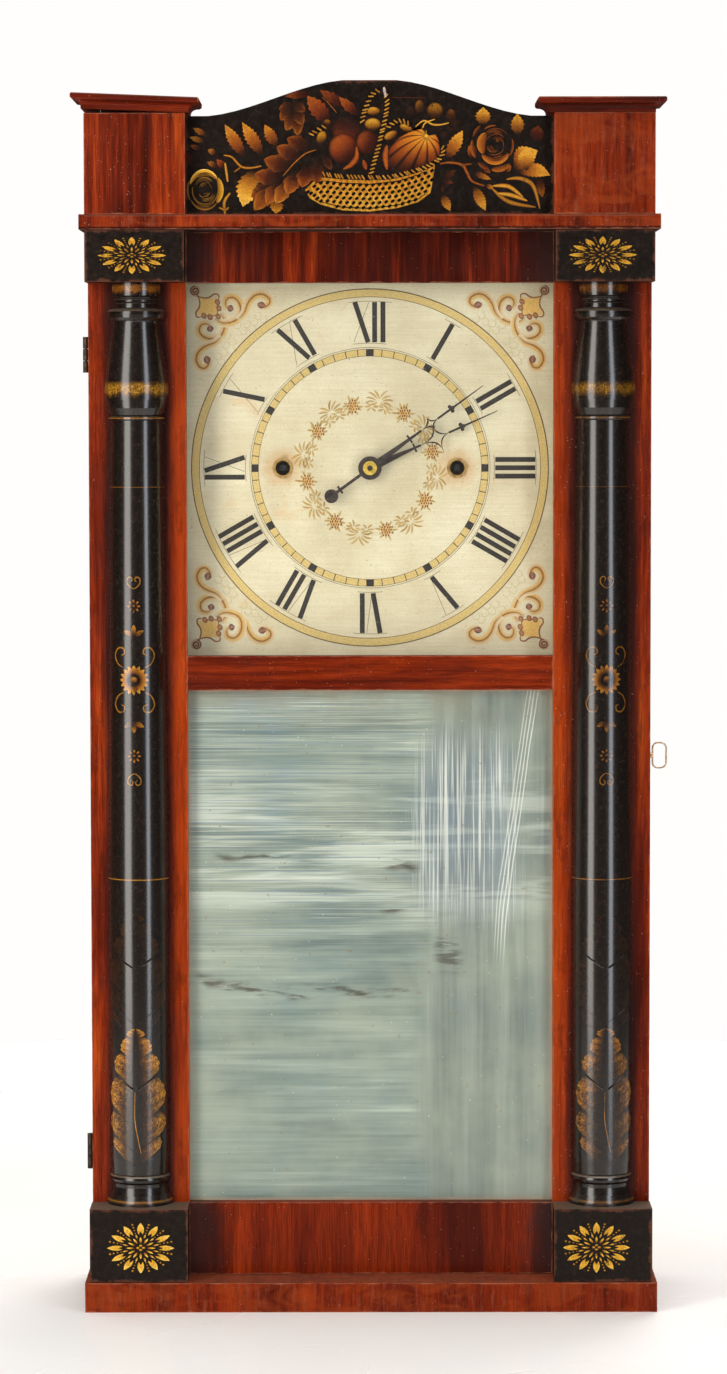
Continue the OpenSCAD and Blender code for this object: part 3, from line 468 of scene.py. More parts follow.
def old_mirror():
    """Looking-glass whose silvering has clouded and cracked, with a blurred reflection painted into its
    streaks and pale zone, and painted glare among its fine lines.
    """
    s = Shader("old_mirror", Metallic=0.2, Coat_Weight=0.2, Coat_Roughness=0.05, IOR=1.5)
    x, _, z = s.axes()
    level = s.noise((5, 1, 60), 4, 0.6, 0.4, (0.3, 0, 0.2))
    fine_level = s.noise((9, 1, 420), 3, 0.6, 0.2)
    upright = s.noise((70, 1, 4), 4, 0.6, 0.4, (1.7, 0, 0.4))
    fine_upright = s.noise((460, 1, 10), 3, 0.6, 0.2)
    clouds = s.noise(11, 4, 0.55, 0.0, (4, 0, 7))
    bend = s.plus(x, s.times(s.noise(16, 3, 0.6), 0.05))
    right = s.step(bend, 0.052, 0.074)
    # streaks and clouds: a painted blurred reflection over clouded silvering
    streak = s.mix(right, s.mix(0.42, level, fine_level), s.mix(0.42, upright, fine_upright))
    base = s.ramp(streak, (0.34, "667672"), (0.46, "7a8a80"), (0.58, "8a988c"), (0.7, "a4b0a0"))
    base = s.tint(base, right, "777c72", 0.5)
    base = s.tint(base, s.step(clouds, 0.4, 0.68, 0.0, 0.5), "a7ad98")
    base = s.tint(base, s.step(clouds, 0.3, 0.44, 0.35, 0.0), "6f8698")
    lo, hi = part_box("looking_glass")
    height = s.add("MapRange", Value=z)
    s.put(height, {"From Min": lo.z, "From Max": hi.z})
    height = height.outputs[0]
    # a pale level zone above the middle, part of the painted reflection
    pale = s.times(s.between(height, 0.52, 0.62, 0.78, 0.86), s.step(level, 0.47, 0.6))
    base = s.tint(base, pale, "d9e0d2", 0.34)
    # fine level lines over the left part, light and dark; the light ones are partly scratches and partly
    # painted glare
    lines = s.noise((7, 1, 820), 3, 0.65, 0.3, (0, 0, 5))
    wiped = s.step(s.noise((6, 1, 22), 3, 0.6, 0.3, (7, 0, 1)), 0.4, 0.6, 0.25, 1.0)
    band = s.times(s.step(height, 0.38, 0.6), s.minus(1.0, right))
    scratches_and_glare = s.times(s.times(s.step(lines, 0.5, 0.62), wiped), band)
    base = s.tint(base, scratches_and_glare, "d3d6c4", 0.42)
    base = s.tint(base, s.times(s.step(lines, 0.46, 0.36), s.times(band, 0.5)), "60758a")
    # upright hatching high on the right, over a blue shade
    hatch = s.noise((640, 1, 7), 3, 0.6, 0.2, (3, 0, 2))
    zone = s.times(s.between(height, 0.5, 0.66, 0.82, 0.95), right)
    zone = s.times(zone, s.step(bend, 0.142, 0.122))
    base = s.tint(base, zone, "66788f", 0.35)
    base = s.tint(base, s.times(s.step(hatch, 0.5, 0.6), zone), "dfe2d6", 0.7)
    # a bowed band of fine lines
    bow = s.times(s.times(height, height), 0.036)
    wobble = s.times(s.noise((30, 1, 6), 2, 0.5), 0.008)
    arc_line = s.minus(s.plus(x, wobble), bow)
    ripple = s.math("SINE", s.times(arc_line, 2300))
    near_arc = s.times(s.between(arc_line, 0.084, 0.086, 0.0945, 0.0965), s.step(height, 0.45, 0.55))
    base = s.tint(base, s.times(near_arc, s.step(ripple, 0.1, 0.9)), "e6e8dc", 0.6)
    # dirt along the top, cracks, specks and a brown rim
    haze = s.times(s.step(height, 0.9, 0.99), s.step(s.noise(24, 4, 0.6, 0.0, (1, 0, 4)), 0.38, 0.6))
    base = s.tint(base, haze, "8b8772", 0.6)
    wave = s.plus(z, s.times(s.noise((9, 1, 9), 4, 0.6), 0.05))
    crack_noise = s.noise((16, 1, 150), 5, 0.7, 0.5, (2, 0, 3))
    for middle, reach, left, end in MIRROR_CRACKS:
        near = s.step(s.size(s.minus(wave, middle + 0.025)), 0.0, reach, 1.0, 0.0)
        from_left = s.step(x, left - CRACK_FADE, left + CRACK_FADE)
        to_right = s.step(x, end - CRACK_FADE, end + CRACK_FADE, 1.0, 0.0)
        crack = s.times(s.times(near, s.times(from_left, to_right)), s.step(crack_noise, 0.44, 0.56))
        base = s.tint(base, crack, "40392c", 0.85)
    base = s.tint(base, s.specks(260, 0.03, (5, 2, 2)), "8b7450", 0.5)
    base = s.tint(base, s.specks(500, 0.025, (1, 2, 7)), "e4e8dc", 0.6)
    gap_x = s.minus(WINDOW_HALF, s.size(x))
    gap_z = s.least(s.minus(z, BOTTOM_RAIL_TOP), s.minus(MID_RAIL_BOTTOM, z))
    rim = s.plus(s.least(gap_x, gap_z), s.times(s.noise(240, 3, 0.6), 0.004))
    base = s.tint(base, s.step(rim, 0.0022, 0.0052, 0.6, 0.0), "b3987c")
    s.bump(s.mix(right, fine_level, fine_upright), 0.00003)
    return s.finish(base, s.step(streak, 0.35, 0.65, 0.3, 0.5))


def clear_glass():
    """Thin old window glass: clear in the middle and green at its edges."""
    s = Shader("clear_glass", Roughness=0.04, IOR=1.5, Specular_IOR_Level=0.5)
    edge = s.edge_distance(*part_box("dial_glass"))
    rim = s.step(edge, 0.0, 0.0015, 0.75, 0.006)
    dust = s.times(s.specks(420, 0.02, (3, 3, 1)), 0.15)
    s.put(s.surface, {"Alpha": s.plus(rim, dust)})
    s.bump(s.noise(12, 2, 0.5), 0.0004)
    return s.finish(s.mix(s.step(edge, 0.0, 0.0015), colour("6f9183"), colour("e9efe6")))


# ---------------------------------------------------------------- the CAD frame's materials

DIAL_Z = 0.614
WIND_X = 0.064
WINDOW_HALF = 0.1335
BOTTOM_RAIL_TOP = 0.075
MID_RAIL_BOTTOM = 0.4525
COLUMN_X = 0.1695
# height of each crack in the silvering, its reach up and down, and its two ends
MIRROR_CRACKS = [
    (0.329, 0.004, -0.112, -0.06), (0.322, 0.006, 0.012, 0.034), (0.288, 0.004, 0.008, 0.024),
    (0.236, 0.006, -0.126, -0.045), (0.230, 0.006, -0.06, 0.03), (0.262, 0.02, 0.048, 0.066),
]
CRACK_FADE = 0.006
WHEEL_NODES = [
    "minute_wheel", "hour_wheel", "time_great_wheel", "strike_great_wheel", "third_wheel", "pin_wheel", "fly",
]


def column_shadow(s, base):
    """Painted shade on a stile round the column, and a brighter band beside the glass."""
    x = s.axes()[0]
    away = s.size(s.minus(s.size(x), COLUMN_X))
    away = s.plus(away, s.times(s.noise(stretched(2, 60, 9), 3, 0.6), 0.008))
    streaks = s.step(s.noise((220, 1, 12), 4, 0.65), 0.4, 0.62, 0.2, 0.8)
    base = s.tint(base, s.times(s.step(s.size(x), 0.150, 0.138), streaks), "9c380a")
    mottling = s.noise((130, 60, 30), 4, 0.7, 0.0, (4, 4, 1))
    base = s.tint(base, s.step(mottling, 0.52, 0.66, 0.0, 0.5), "4a1206")
    # painted shade on the stile close round the column
    return s.tint(base, s.step(away, 0.024, 0.033, 0.88, 0.0), "231210")


def rail_end_shade(s, base):
    """Painted shade where a rail runs up to the corner blocks."""
    x = s.plus(s.size(s.axes()[0]), s.times(s.noise(70, 4, 0.65), 0.03))
    base = s.tint(base, s.step(s.noise((22, 4, 3), 3, 0.5, 0.3), 0.5, 0.62, 0.0, 0.75), "2e0804")
    # painted shade towards the ends, beside the proud corner blocks
    return s.tint(base, s.step(x, 0.118, 0.146, 0.0, 0.8), "33211f")


def rubbed_veneer(s, base):
    """Pinkish rubs along a strip of cross-banded veneer."""
    rubs = s.noise((260, 40, 60), 4, 0.7, 0.0, (1, 5, 2))
    patches = s.noise((26, 26, 60), 4, 0.6, 1.2, (3, 1, 2))
    base = s.tint(base, s.step(patches, 0.42, 0.66, 0.0, 0.4), "943c12")
    return s.tint(base, s.step(rubs, 0.5, 0.7, 0.0, 0.25), "94523a")


def cornice_rubs_and_shadow(s, base):
    """A rubbed strip with a painted shadow along its lower edge."""
    z = s.plus(s.axes()[2], s.times(s.noise((30, 30, 200), 3, 0.6), 0.0012))
    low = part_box("cornice")[0].z
    # painted shadow along the lower edge, over the rubbed veneer
    return s.mix(s.step(z, low + 0.0018, low + 0.0032, 0.92, 0.0), rubbed_veneer(s, base), colour("240a05"))


def paint_frame():
    """Every CAD node's own material."""
    def wood(node, along, *looks, **more):
        """Mahogany of the node's own piece of wood."""
        low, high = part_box(node)
        shift = (random.uniform(-9, 9), random.uniform(-9, 9), random.uniform(-9, 9))
        paint(node, mahogany("mahogany_" + node, along, shift, low, high, *looks, **more))

    random.seed(1830)
    wood("base", 2, 0.46, 0.65, rubbed_veneer, (2, -1))
    wood("case_side_left", 2, 0.45, bare=(0, 1))
    wood("case_side_right", 2, 0.45, bare=(0, -1))
    wood("cornice", 2, 0.4, 0.9, cornice_rubs_and_shadow)
    wood("pedestal_left", 2, 0.55, 1.3)
    wood("pedestal_right", 2, 0.6, 1.0, rubbed_veneer)
    wood("cap_left", 0, 0.1, 0.8)
    wood("cap_right", 0, 0.15, 0.8)
    wood("stile_left", 2, 0.56, 1.0, column_shadow)
    wood("stile_right", 2, 0.56, 1.0, column_shadow)
    wood("rail_top", 2, 0.35, 1.5, rail_end_shade)
    wood("rail_mid", 0, 0.45, 0.9)
    wood("rail_bottom", 2, 0.4, 0.5, rail_end_shade)
    for node in LACQUERED:
        paint(node, lacquer(node))
    paint("backboard", pine("pine_backboard", 2, (1, 2, 3)))
    paint("top_board", pine("pine_top", 0, (4, 2, 3), True))
    paint("movement_rails", pine("pine_rails", 0, (6, 2, 5)))
    paint("glass_backing", pine("pine_backing", 2, (2, 8, 5)))
    paint("dial_board", dial_paint("dial_paint"))
    paint("dial_glass", clear_glass())
    paint("looking_glass", old_mirror())
    drums = movement_wood("drum_wood", 1, "7b4a29", "a8713f", (5, 1, 3), True)
    blued = metal("hand_steel", "2b2320", "4d423c", 0.35, 0.55, 0.6)
    cast = metal("cast_iron", "26221f", "453e38", 0.5, 0.75, 0.7, 120, 0.0003, (700, 700, 700))
    for nodes, material in (
        (("front_plate", "back_plate"), movement_wood("oak_plates", 2, "6e4726", "9c6c3d")),
        (WHEEL_NODES, movement_wood("cherry_wheels", 0, "8a4d28", "b87747", (3, 3, 3))),
        (("time_drum", "strike_drum", "time_pulley", "strike_pulley"), drums),
        (("winding_bushes", "escape_wheel"), metal("brass", "8a6634", "d9b06a", 0.3, 0.5, 0.7)),
        (("hand_washer",), metal("washer_brass", "b08a2a", "efd45c", 0.35, 0.5, 0.45)),
        (("minute_hand", "hour_hand", "minute_arbor"), blued),
        (("verge", "hammer", "cap_nails"), metal("old_steel", "3f3a36", "7a736b", 0.35, 0.6)),
        (("hinge_case_leaves", "hinge_door_leaves"), metal("dark_iron", "241d19", "4a3d33", 0.45, 0.7, 0.8)),
        (("time_weight", "strike_weight", "bell"), cast),
        (("pendulum",), metal("bob_brass", "8a6a34", "b98f4c", 0.3, 0.5)),
        (("door_latch",), metal("latch_wire", "a07a58", "d8b795", 0.25, 0.4)),
    ):
        for node in nodes:
            paint(node, material)


# ---------------------------------------------------------------- painted shapes

LIFT = 0.05
LAYER = 0.04
STAGGER = 0.0008
YELLOW_BRONZE = [rgb(c) for c in ("120b04", "4a3206", "9a6d12", "d6a431", "f2cf6c")]
RED_BRONZE = [rgb(c) for c in ("120604", "451505", "8a380a", "c06a10", "e29a2c")]


def blend(a, b, t):
    """A value, point or colour t of the way from a to b."""
    if isinstance(a, (int, float)):
        return a + (b - a) * t
    return tuple(p + (q - p) * t for p, q in zip(a, b))


def clamp(value):
    """The value, but not under 0 or over 1."""
    return max(0.0, min(1.0, value))


def bronze(shade, warm, cover=1.0):
    """Ink for bronze powder on black, from 0 for bare ground to 1; warm is 0 for yellow and 1 for red."""
    shade = clamp(shade)
    place = shade * (len(YELLOW_BRONZE) - 1)
    i = min(int(place), len(YELLOW_BRONZE) - 2)
    pick = [blend(row[i], row[i + 1], place - i) for row in (YELLOW_BRONZE, RED_BRONZE)]
    return blend(pick[0], pick[1], warm), clamp(shade * 2.6) * cover


def vary(low, high):
    """A random number between the two."""
    return random.uniform(low, high)


def plain(code, cover=1.0):
    """An ink function of one colour."""
    value = rgb(code)
    return lambda s, t: (value, cover)


def soft(code, cover, ends=0.0):
    """An ink function of one colour that fades towards both ends of a stroke."""
    value = rgb(code)
    return lambda s, t: (value, cover * (1 - ends * (2 * s - 1) ** 4))


def fading(code, cover, share, power):
    """An ink function of one colour that loses that share towards the rim."""
    value = rgb(code)
    return lambda s, t: (value, cover * (1 - share * t ** power))


def profile(stops, ends=0.0):
    """An ink function across a stroke, through stops of place, colour and cover."""
    rows = [(place, rgb(code), cover) for place, code, cover in stops]

    def ink(s, t):
        for (a, va, ca), (b, vb, cb) in zip(rows, rows[1:]):
            if t <= b:
                f = (t - a) / (b - a)
                return blend(va, vb, f), blend(ca, cb, f) * (1 - ends * (2 * s - 1) ** 6)
        return rows[-1][1], 0.0
    return ink


def smooth(points, steps=6):
    """Points along a smooth curve through the given points."""
    padded = [points[0], *points, points[-1]]
    out = []
    for a, b, c, d in zip(padded, padded[1:], padded[2:], padded[3:]):
        for i in range(steps):
            t = i / steps
            out.append(tuple(
                0.5 * (2 * q + (r - p) * t + (2 * p - 5 * q + 4 * r - s) * t ** 2
                       + (3 * q - p - 3 * r + s) * t ** 3)
                for p, q, r, s in zip(a, b, c, d)
            ))
    out.append(tuple(points[-1]))
    return out


def polar(centre, radius, angle):
    """A point at an angle clockwise from straight up."""
    a = math.radians(angle)
    return centre[0] + radius * math.sin(a), centre[1] + radius * math.cos(a)


def new_mesh(name, points, faces, material):
    """A smooth mesh object in the scene."""
    mesh = bpy.data.meshes.new(name)
    mesh.from_pydata(points, [], faces)
    mesh.materials.append(material)
    mesh.shade_smooth()
    piece = bpy.data.objects.new(name, mesh)
    bpy.context.scene.collection.objects.link(piece)
    return piece


class Painting:
    """Painted shapes that lie on a surface as one thin mesh, with an ink at every vertex.

    place(u, v, lift) turns flat millimetres into a point of the surface, lifted off it.
    """

    def __init__(self, place):
        self.place = place
        self.points, self.faces, self.inks, self.count = [], [], [], 0

    def patch(self, shape, ink, nu, nv, layer=0):
        """A grid over shape(s, t), with s and t from 0 to 1, coloured by ink(s, t)."""
        start = len(self.points)
        lift = LIFT + layer * LAYER + self.count % 48 * STAGGER
        self.count += 1
        for i in range(nu + 1):
            for j in range(nv + 1):
                s, t = i / nu, j / nv
                self.points.append(self.place(*shape(s, t), lift))
                self.inks.append(ink(s, t))
        corners = [shape(0.5, 0.4), shape(0.5, 0.6), shape(0.6, 0.5)]
        (ax, ay), (bx, by), (cx, cy) = corners
        turned = (bx - ax) * (cy - ay) - (by - ay) * (cx - ax) < 0
        for i in range(nu):
            for j in range(nv):
                a = start + i * (nv + 1) + j
                face = (a, a + 1, a + nv + 2, a + nv + 1)
                self.faces.append(face[::-1] if turned else face)

    def stroke(self, path, width, ink, layer=0, taper=0.6, across=2):
        """A band along a path of points, drawn in towards both ends by taper."""
        normals = []
        for i in range(len(path)):
            a, b = path[max(i - 1, 0)], path[min(i + 1, len(path) - 1)]
            size = math.hypot(b[0] - a[0], b[1] - a[1]) or 1
            normals.append((-(b[1] - a[1]) / size, (b[0] - a[0]) / size))
        last = len(path) - 1

        def shape(s, t):
            i = min(int(s * last + 1e-6), last - 1)
            f = s * last - i
            (x, y), (nx, ny) = blend(path[i], path[i + 1], f), blend(normals[i], normals[i + 1], f)
            half = width / 2 * (1 - taper * (2 * s - 1) ** 2)
            return x + nx * half * (2 * t - 1), y + ny * half * (2 * t - 1)

        self.patch(shape, ink, last, across, layer)

    def disc(self, centre, rx, ry, ink, layer=0, turn=0.0, rings=6, sides=28):
        """An ellipse; ink gets the angle and the distance from the middle, both from 0 to 1."""
        c, n = math.cos(math.radians(turn)), math.sin(math.radians(turn))

        def shape(s, t):
            x, y = rx * t * math.cos(s * math.tau), ry * t * math.sin(s * math.tau)
            return centre[0] + x * c - y * n, centre[1] + x * n + y * c

        self.patch(shape, ink, sides, rings, layer)

    def ring(self, centre, inner, outer, ink, layer=0, start=0.0, end=360.0, steps=90):
        """Part of a ring, with angles clockwise from straight up."""
        def shape(s, t):
            return polar(centre, inner + (outer - inner) * t, start + (end - start) * s)

        self.patch(shape, ink, steps, 1, layer)

    def leaf(self, base, tip, width, ink, layer=0, teeth=7, depth=0.22, bend=0.0, fullness=0.8):
        """A leaf with teeth that point to its tip; ink gets the way along and across it."""
        dx, dy = tip[0] - base[0], tip[1] - base[1]
        size = math.hypot(dx, dy)
        nx, ny = -dy / size, dx / size

        def shape(s, t):
            q = 2 * t - 1
            saw = (s * teeth) % 1.0 if teeth else 1.0
            half = width / 2 * math.sin(math.pi * min(s, 1) ** fullness) ** 1.05 * (1 - depth + depth * saw)
            bow = bend * 4 * s * (1 - s)
            along = s + 0.07 * abs(q) * math.sin(math.pi * s)
            aside = q * half + bow
            return base[0] + dx * along + nx * aside, base[1] + dy * along + ny * aside

        self.patch(shape, ink, max(teeth * 5, 14), 6, layer)

    def build(self, name, material, body):
        """Makes the mesh, which rides on a body."""
        piece = new_mesh(name, self.points, self.faces, material)
        layer = piece.data.attributes.new("ink", "FLOAT_COLOR", "POINT")
        for item, (value, cover) in zip(layer.data, self.inks):
            item.color = (*value, cover)
        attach(piece, body)
        return piece


def on_front(x, y, z):
    """Places painting on a flat face towards the front, with its origin at x and z."""
    return lambda u, v, lift: (x + u * MM, y - lift * MM, z + v * MM)


# ---------------------------------------------------------------- dial

NUMERALS = ["XII", "I", "II", "III", "IIII", "V", "VI", "VII", "VIII", "IX", "X", "XI"]
NUMERAL_INNER, NUMERAL_OUTER = 92.0, 121.4
# inner and outer radius of both gold bands
OUTER_BAND, MINUTE_BAND = (125.2, 131.0), (81.9, 86.9)
# radius and width of the fine lines round both bands
OUTER_LINES = [(125.2, 0.45), (131.0, 0.75)]
INNER_LINES = [(81.9, 0.35), (86.9, 0.35), (88.2, 0.3)]
BAR = 3.6
ADVANCE = {"I": 6.1, "V": 11.6, "X": 13.2}
HAIR = 0.42
DIAL_BLACK = "2b241d"
DIAL_LINE = "5b4a34"
BAND = "ccb26c"
SPANDREL_SCROLLS = [
    [
        (24, 20), (27, 25), (27, 31), (24, 37), (18, 39), (12, 37.5), (8.6, 33.5), (9.7, 29), (13.7, 27.8),
        (16.8, 29.6),
    ],
    [
        (25, 37), (20, 41.5), (12.5, 44.5), (7.6, 49), (6.3, 54.5), (9, 59.5), (13, 60), (15.7, 56),
        (14.5, 51.5),
    ],
]
SPANDREL_BLOBS = [((16, 29), (17.2, 34)), ((13.5, 51), (15, 57.5))]
SPANDREL_CLOUDS = [(29, 36.5), (33, 41), (28, 43.5), (32, 47.5), (26.5, 49), (22, 51.5), (24.5, 55.5)]
SCROLL_INK_STOPS = [
    (0.0, "cfa24e", 0.0), (0.12, "cfa24a", 0.55), (0.3, "d2a346", 0.85), (0.42, "c5943a", 0.95),
    (0.46, "855a1e", 1.0), (0.54, "774e1a", 1.0), (0.6, "c28f42", 0.9), (0.74, "d0a25c", 0.6),
    (0.9, "d0aa6c", 0.25), (1.0, "d0aa6c", 0.0),
]
SPANDREL_STUDS = [(12, 22), (16.5, 23), (22.5, 22.5)]
SPANDREL_SIDE = [(7.5, 6.5), (9, 12), (8.5, 16), (6.2, 19.5), (6.6, 22.5), (9, 23.2)]
SPANDREL_BAR = [(9, 23), (14, 22), (19, 22), (22.5, 21.5)]
SPANDREL_SHIELD = [(8, 8), (9, 15), (7, 21), (14, 22), (22, 21), (23, 14), (23, 8), (19, 9.5), (14, 8.5)]
SHIELD_MIDDLE, SPANDREL_EYE = (15, 14), (5.6, 3.8)
FAN_SHARES = (0.3, 0.55, 0.8, 1.0)
# place between two flowers, side of the wreath, number of strokes and their length
FANS = [(0.5, 1, 10, 11.5), (0.36, -1, 7, 6.5), (0.64, -1, 6, 6.0)]
WREATH_R = 47
FLOWER_R = 4.9
WREATH_ANGLES = [-15.8, -54.9, -102, -146.8, 165.4, 120.7, 75.3, 31.7]


def radial(angle, across, r):
    """A point r from the dial centre at an angle, moved sideways by across, clockwise."""
    a = math.radians(angle)
    return r * math.sin(a) + across * math.cos(a), r * math.cos(a) - across * math.sin(a)


def paint_numeral(dial, text, angle):
    """A Roman numeral that stands on the centre side of the hour ring."""
    black, fine = plain(DIAL_BLACK), plain(DIAL_LINE, 0.8)

    def bar(inner, outer, width, ink, layer):
        ends = [radial(angle, inner, NUMERAL_INNER), radial(angle, outer, NUMERAL_OUTER)]
        dial.stroke(ends, width, ink, layer, 0.0)

    across = -sum(ADVANCE[c] for c in text) / 2
    reach = math.degrees((abs(across) + 3.5) / NUMERAL_OUTER)
    for c in text:
        middle = across + ADVANCE[c] / 2
        if c == "I":
            bar(middle, middle, BAR, black, 3)
        elif c == "V":
            bar(middle + 0.9, middle - 4.3, BAR, black, 3)
            bar(middle + 1.8, middle + 5.6, HAIR, fine, 2)
        else:
            bar(middle + 4.9, middle - 4.9, BAR, black, 3)
            bar(middle - 5.6, middle + 5.4, HAIR, fine, 2)
        across += ADVANCE[c]
    for r in (NUMERAL_INNER - 0.6, NUMERAL_OUTER + 0.6):
        dial.ring((0, 0), r - HAIR / 2, r + HAIR / 2, fine, 2, angle - reach, angle + reach, 14)


def paint_spandrel(dial, flip_x, flip_y):
    """One corner's scrolls: the same scrolls on both sides of the diagonal, and a shield between them."""
    half = WINDOW_HALF / MM

    def corner(points, swap):
        rows = [point[::-1] if swap else point for point in points]
        return [(flip_x * (half - a), flip_y * (half - b)) for a, b in rows]

    for swap in (False, True):
        for path in SPANDREL_SCROLLS:
            curve = smooth(corner(path, swap), 5)
            if flip_x * flip_y * (-1 if swap else 1) < 0:
                curve = curve[::-1]
            dial.stroke(curve, 7.4, profile(SCROLL_INK_STOPS, 0.6), 1, 0.35, 20)
        for base, tip in SPANDREL_BLOBS:
            ends = corner([base, tip], swap)
            dial.leaf(*ends, 5.0, blob_ink, 4, 0, 0.0, 0.0)
        for centre in SPANDREL_CLOUDS:
            spot = corner([centre], swap)[0]
            loop = [polar(spot, 2.6, a) for a in range(0, 300, 20)]
            dial.stroke(loop, 0.7, soft("b0a068", 0.5), 1, 0.5)
        dial.stroke(smooth(corner(SPANDREL_SIDE, swap), 5), 1.2, soft("8c5a27", 1.0), 3, 0.3)
        for spot in SPANDREL_STUDS:
            centre = corner([spot], swap)[0]
            dial.disc(centre, 1.9, 2.4, stud_ink, 4, 30, 3, 12)
        dial.stroke(smooth(corner(SPANDREL_BAR, swap), 4), 0.9, soft("8c5a27", 0.9), 3, 0.3)
    shield = corner(SPANDREL_SHIELD, False)
    middle, eye = corner([SHIELD_MIDDLE, SPANDREL_EYE], False)
    around_shield = smooth([*shield, shield[0]], 3)

    def filled(s, t):
        place = s * (len(around_shield) - 1)
        i = min(int(place), len(around_shield) - 2)
        return blend(middle, blend(around_shield[i], around_shield[i + 1], place - i), t)

    dial.patch(filled, fading("dcb155", 0.95, 0.25, 4), len(around_shield) - 1, 3, 1)
    spiral = [polar(eye, 3.6 - i * 0.1, flip_x * flip_y * i * 22) for i in range(30)]
    dial.disc(eye, 4.4, 4.4, fading("b3855a", 0.8, 1, 6), 1)
    dial.stroke(spiral, 1.1, soft("6f4029", 1.0), 3, 0.3)


def stud_ink(s, t):
    """A stud that is darker at its rim."""
    return blend(rgb("c0864c"), rgb("7c4a2c"), t), 1.0


def blob_ink(s, t):
    """The dark bud that a scroll curls round."""
    rim = clamp(1.6 * abs(2 * t - 1) - 0.3)
    return blend(rgb("9a6a50"), rgb("5f3523"), rim), 1.0


def paint_fan(dial, middle, side, count, reach):
    """Comma strokes that open like a shell from a point of the wreath, outwards or inwards."""
    foot = polar((0, 0), WREATH_R + side * 0.6, middle)
    outward = middle if side > 0 else middle + 180
    for i in range(count):
        lean = -100 + 200 * i / (count - 1)
        length = reach * (0.8 + 0.2 * math.cos(math.radians(lean))) * vary(0.92, 1.06)
        curl = 34 if lean > 0 else -34
        line = [polar(foot, length * part, outward + lean + curl * (part - 0.5)) for part in FAN_SHARES]
        tone = random.choice(("a98539", "b39044", "9c7a30"))
        dial.stroke(smooth(line, 3), 1.55, soft(tone, vary(0.65, 1.0), 0.4), 1, 0.75)


def paint_wreath(dial):
    """Eight brown flowers with rays round them, and fans of ochre strokes between them."""
    for k, angle in enumerate(WREATH_ANGLES):
        centre = polar((0, 0), WREATH_R, angle)
        dial.disc(centre, FLOWER_R, 5.2, fading("c99c4a", 0.9, 1, 4), 0, 0, 4, 18)
        for i in range(12):
            turn = i * 30 + vary(-9, 9)
            reach = vary(7.0, 9.6) if i % 2 else vary(5.5, 7.0)
            ray = [polar(centre, r, turn + vary(-4, 4)) for r in (3.6, 5.4, reach)]
            dial.stroke(smooth(ray, 3), 1.6, soft("a98636", vary(0.7, 1.0), 0.4), 1, 0.8)
        for row in range(-2, 3):
            for column in range(-2, 3):
                x = column * 1.75 + 0.8 * (row % 2) + vary(-0.3, 0.3)
                y = row * 2.0 + vary(-0.3, 0.3)
                if math.hypot(x, y) < FLOWER_R:
                    x, y = centre[0] + x, centre[1] + y
                    ends = smooth([(x, y - 0.8), (x + 0.3, y + 0.8)], 3)
                    dial.stroke(ends, 0.95, plain(random.choice(("7c4512", "8a5416", "66380f"))), 3, 0.4)
        following = WREATH_ANGLES[(k + 1) % len(WREATH_ANGLES)]
        span = -((angle - following) % 360)
        for share, side, count, reach in FANS:
            paint_fan(dial, angle + share * span, side, count, reach)
        turns = [angle + span * (0.16 + 0.68 * i / 8) for i in range(9)]
        stem = [polar((0, 0), WREATH_R + math.sin(i), turn) for i, turn in enumerate(turns)]
        dial.stroke(smooth(stem, 2), 0.8, soft("b59a62", 0.5), 0, 0.3)


def paint_dial():
    """Everything that is painted on the dial board."""
    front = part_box("dial_board")[0].y
    dial = Painting(on_front(0, front, DIAL_Z))
    for gold, lines, steps in ((OUTER_BAND, OUTER_LINES, 180), (MINUTE_BAND, INNER_LINES, 150)):
        dial.ring((0, 0), *gold, plain(BAND), 1, steps=steps)
        for r, width in lines:
            dial.ring((0, 0), r - width / 2, r + width / 2, plain(DIAL_LINE), 2, steps=steps)
    for minute in range(60):
        angle = 6 * minute
        width = 5.6 if minute % 5 == 0 else 0.6
        dial.stroke([radial(angle, 0, 81.9), radial(angle, 0, 87.0)], width, plain(DIAL_BLACK), 3, 0.0)
    for hour, text in enumerate(NUMERALS):
        paint_numeral(dial, text, 30 * hour)
    for flip_x in (-1, 1):
        for flip_y in (-1, 1):
            paint_spandrel(dial, flip_x, flip_y)
    paint_wreath(dial)
    for x in (-WIND_X, WIND_X):
        dial.ring((x / MM, 0), 6.3, 7.0, plain("b8924a"), 2, steps=48)
        dial.ring((x / MM, 0), 7.0, 7.5, plain("6b4a1c"), 2, steps=48)
    dial.build("dial_painting", dial_paint("dial_paint_inked", True), "case")


# ---------------------------------------------------------------- bronze stencils on black

BLACK = "0d0805"
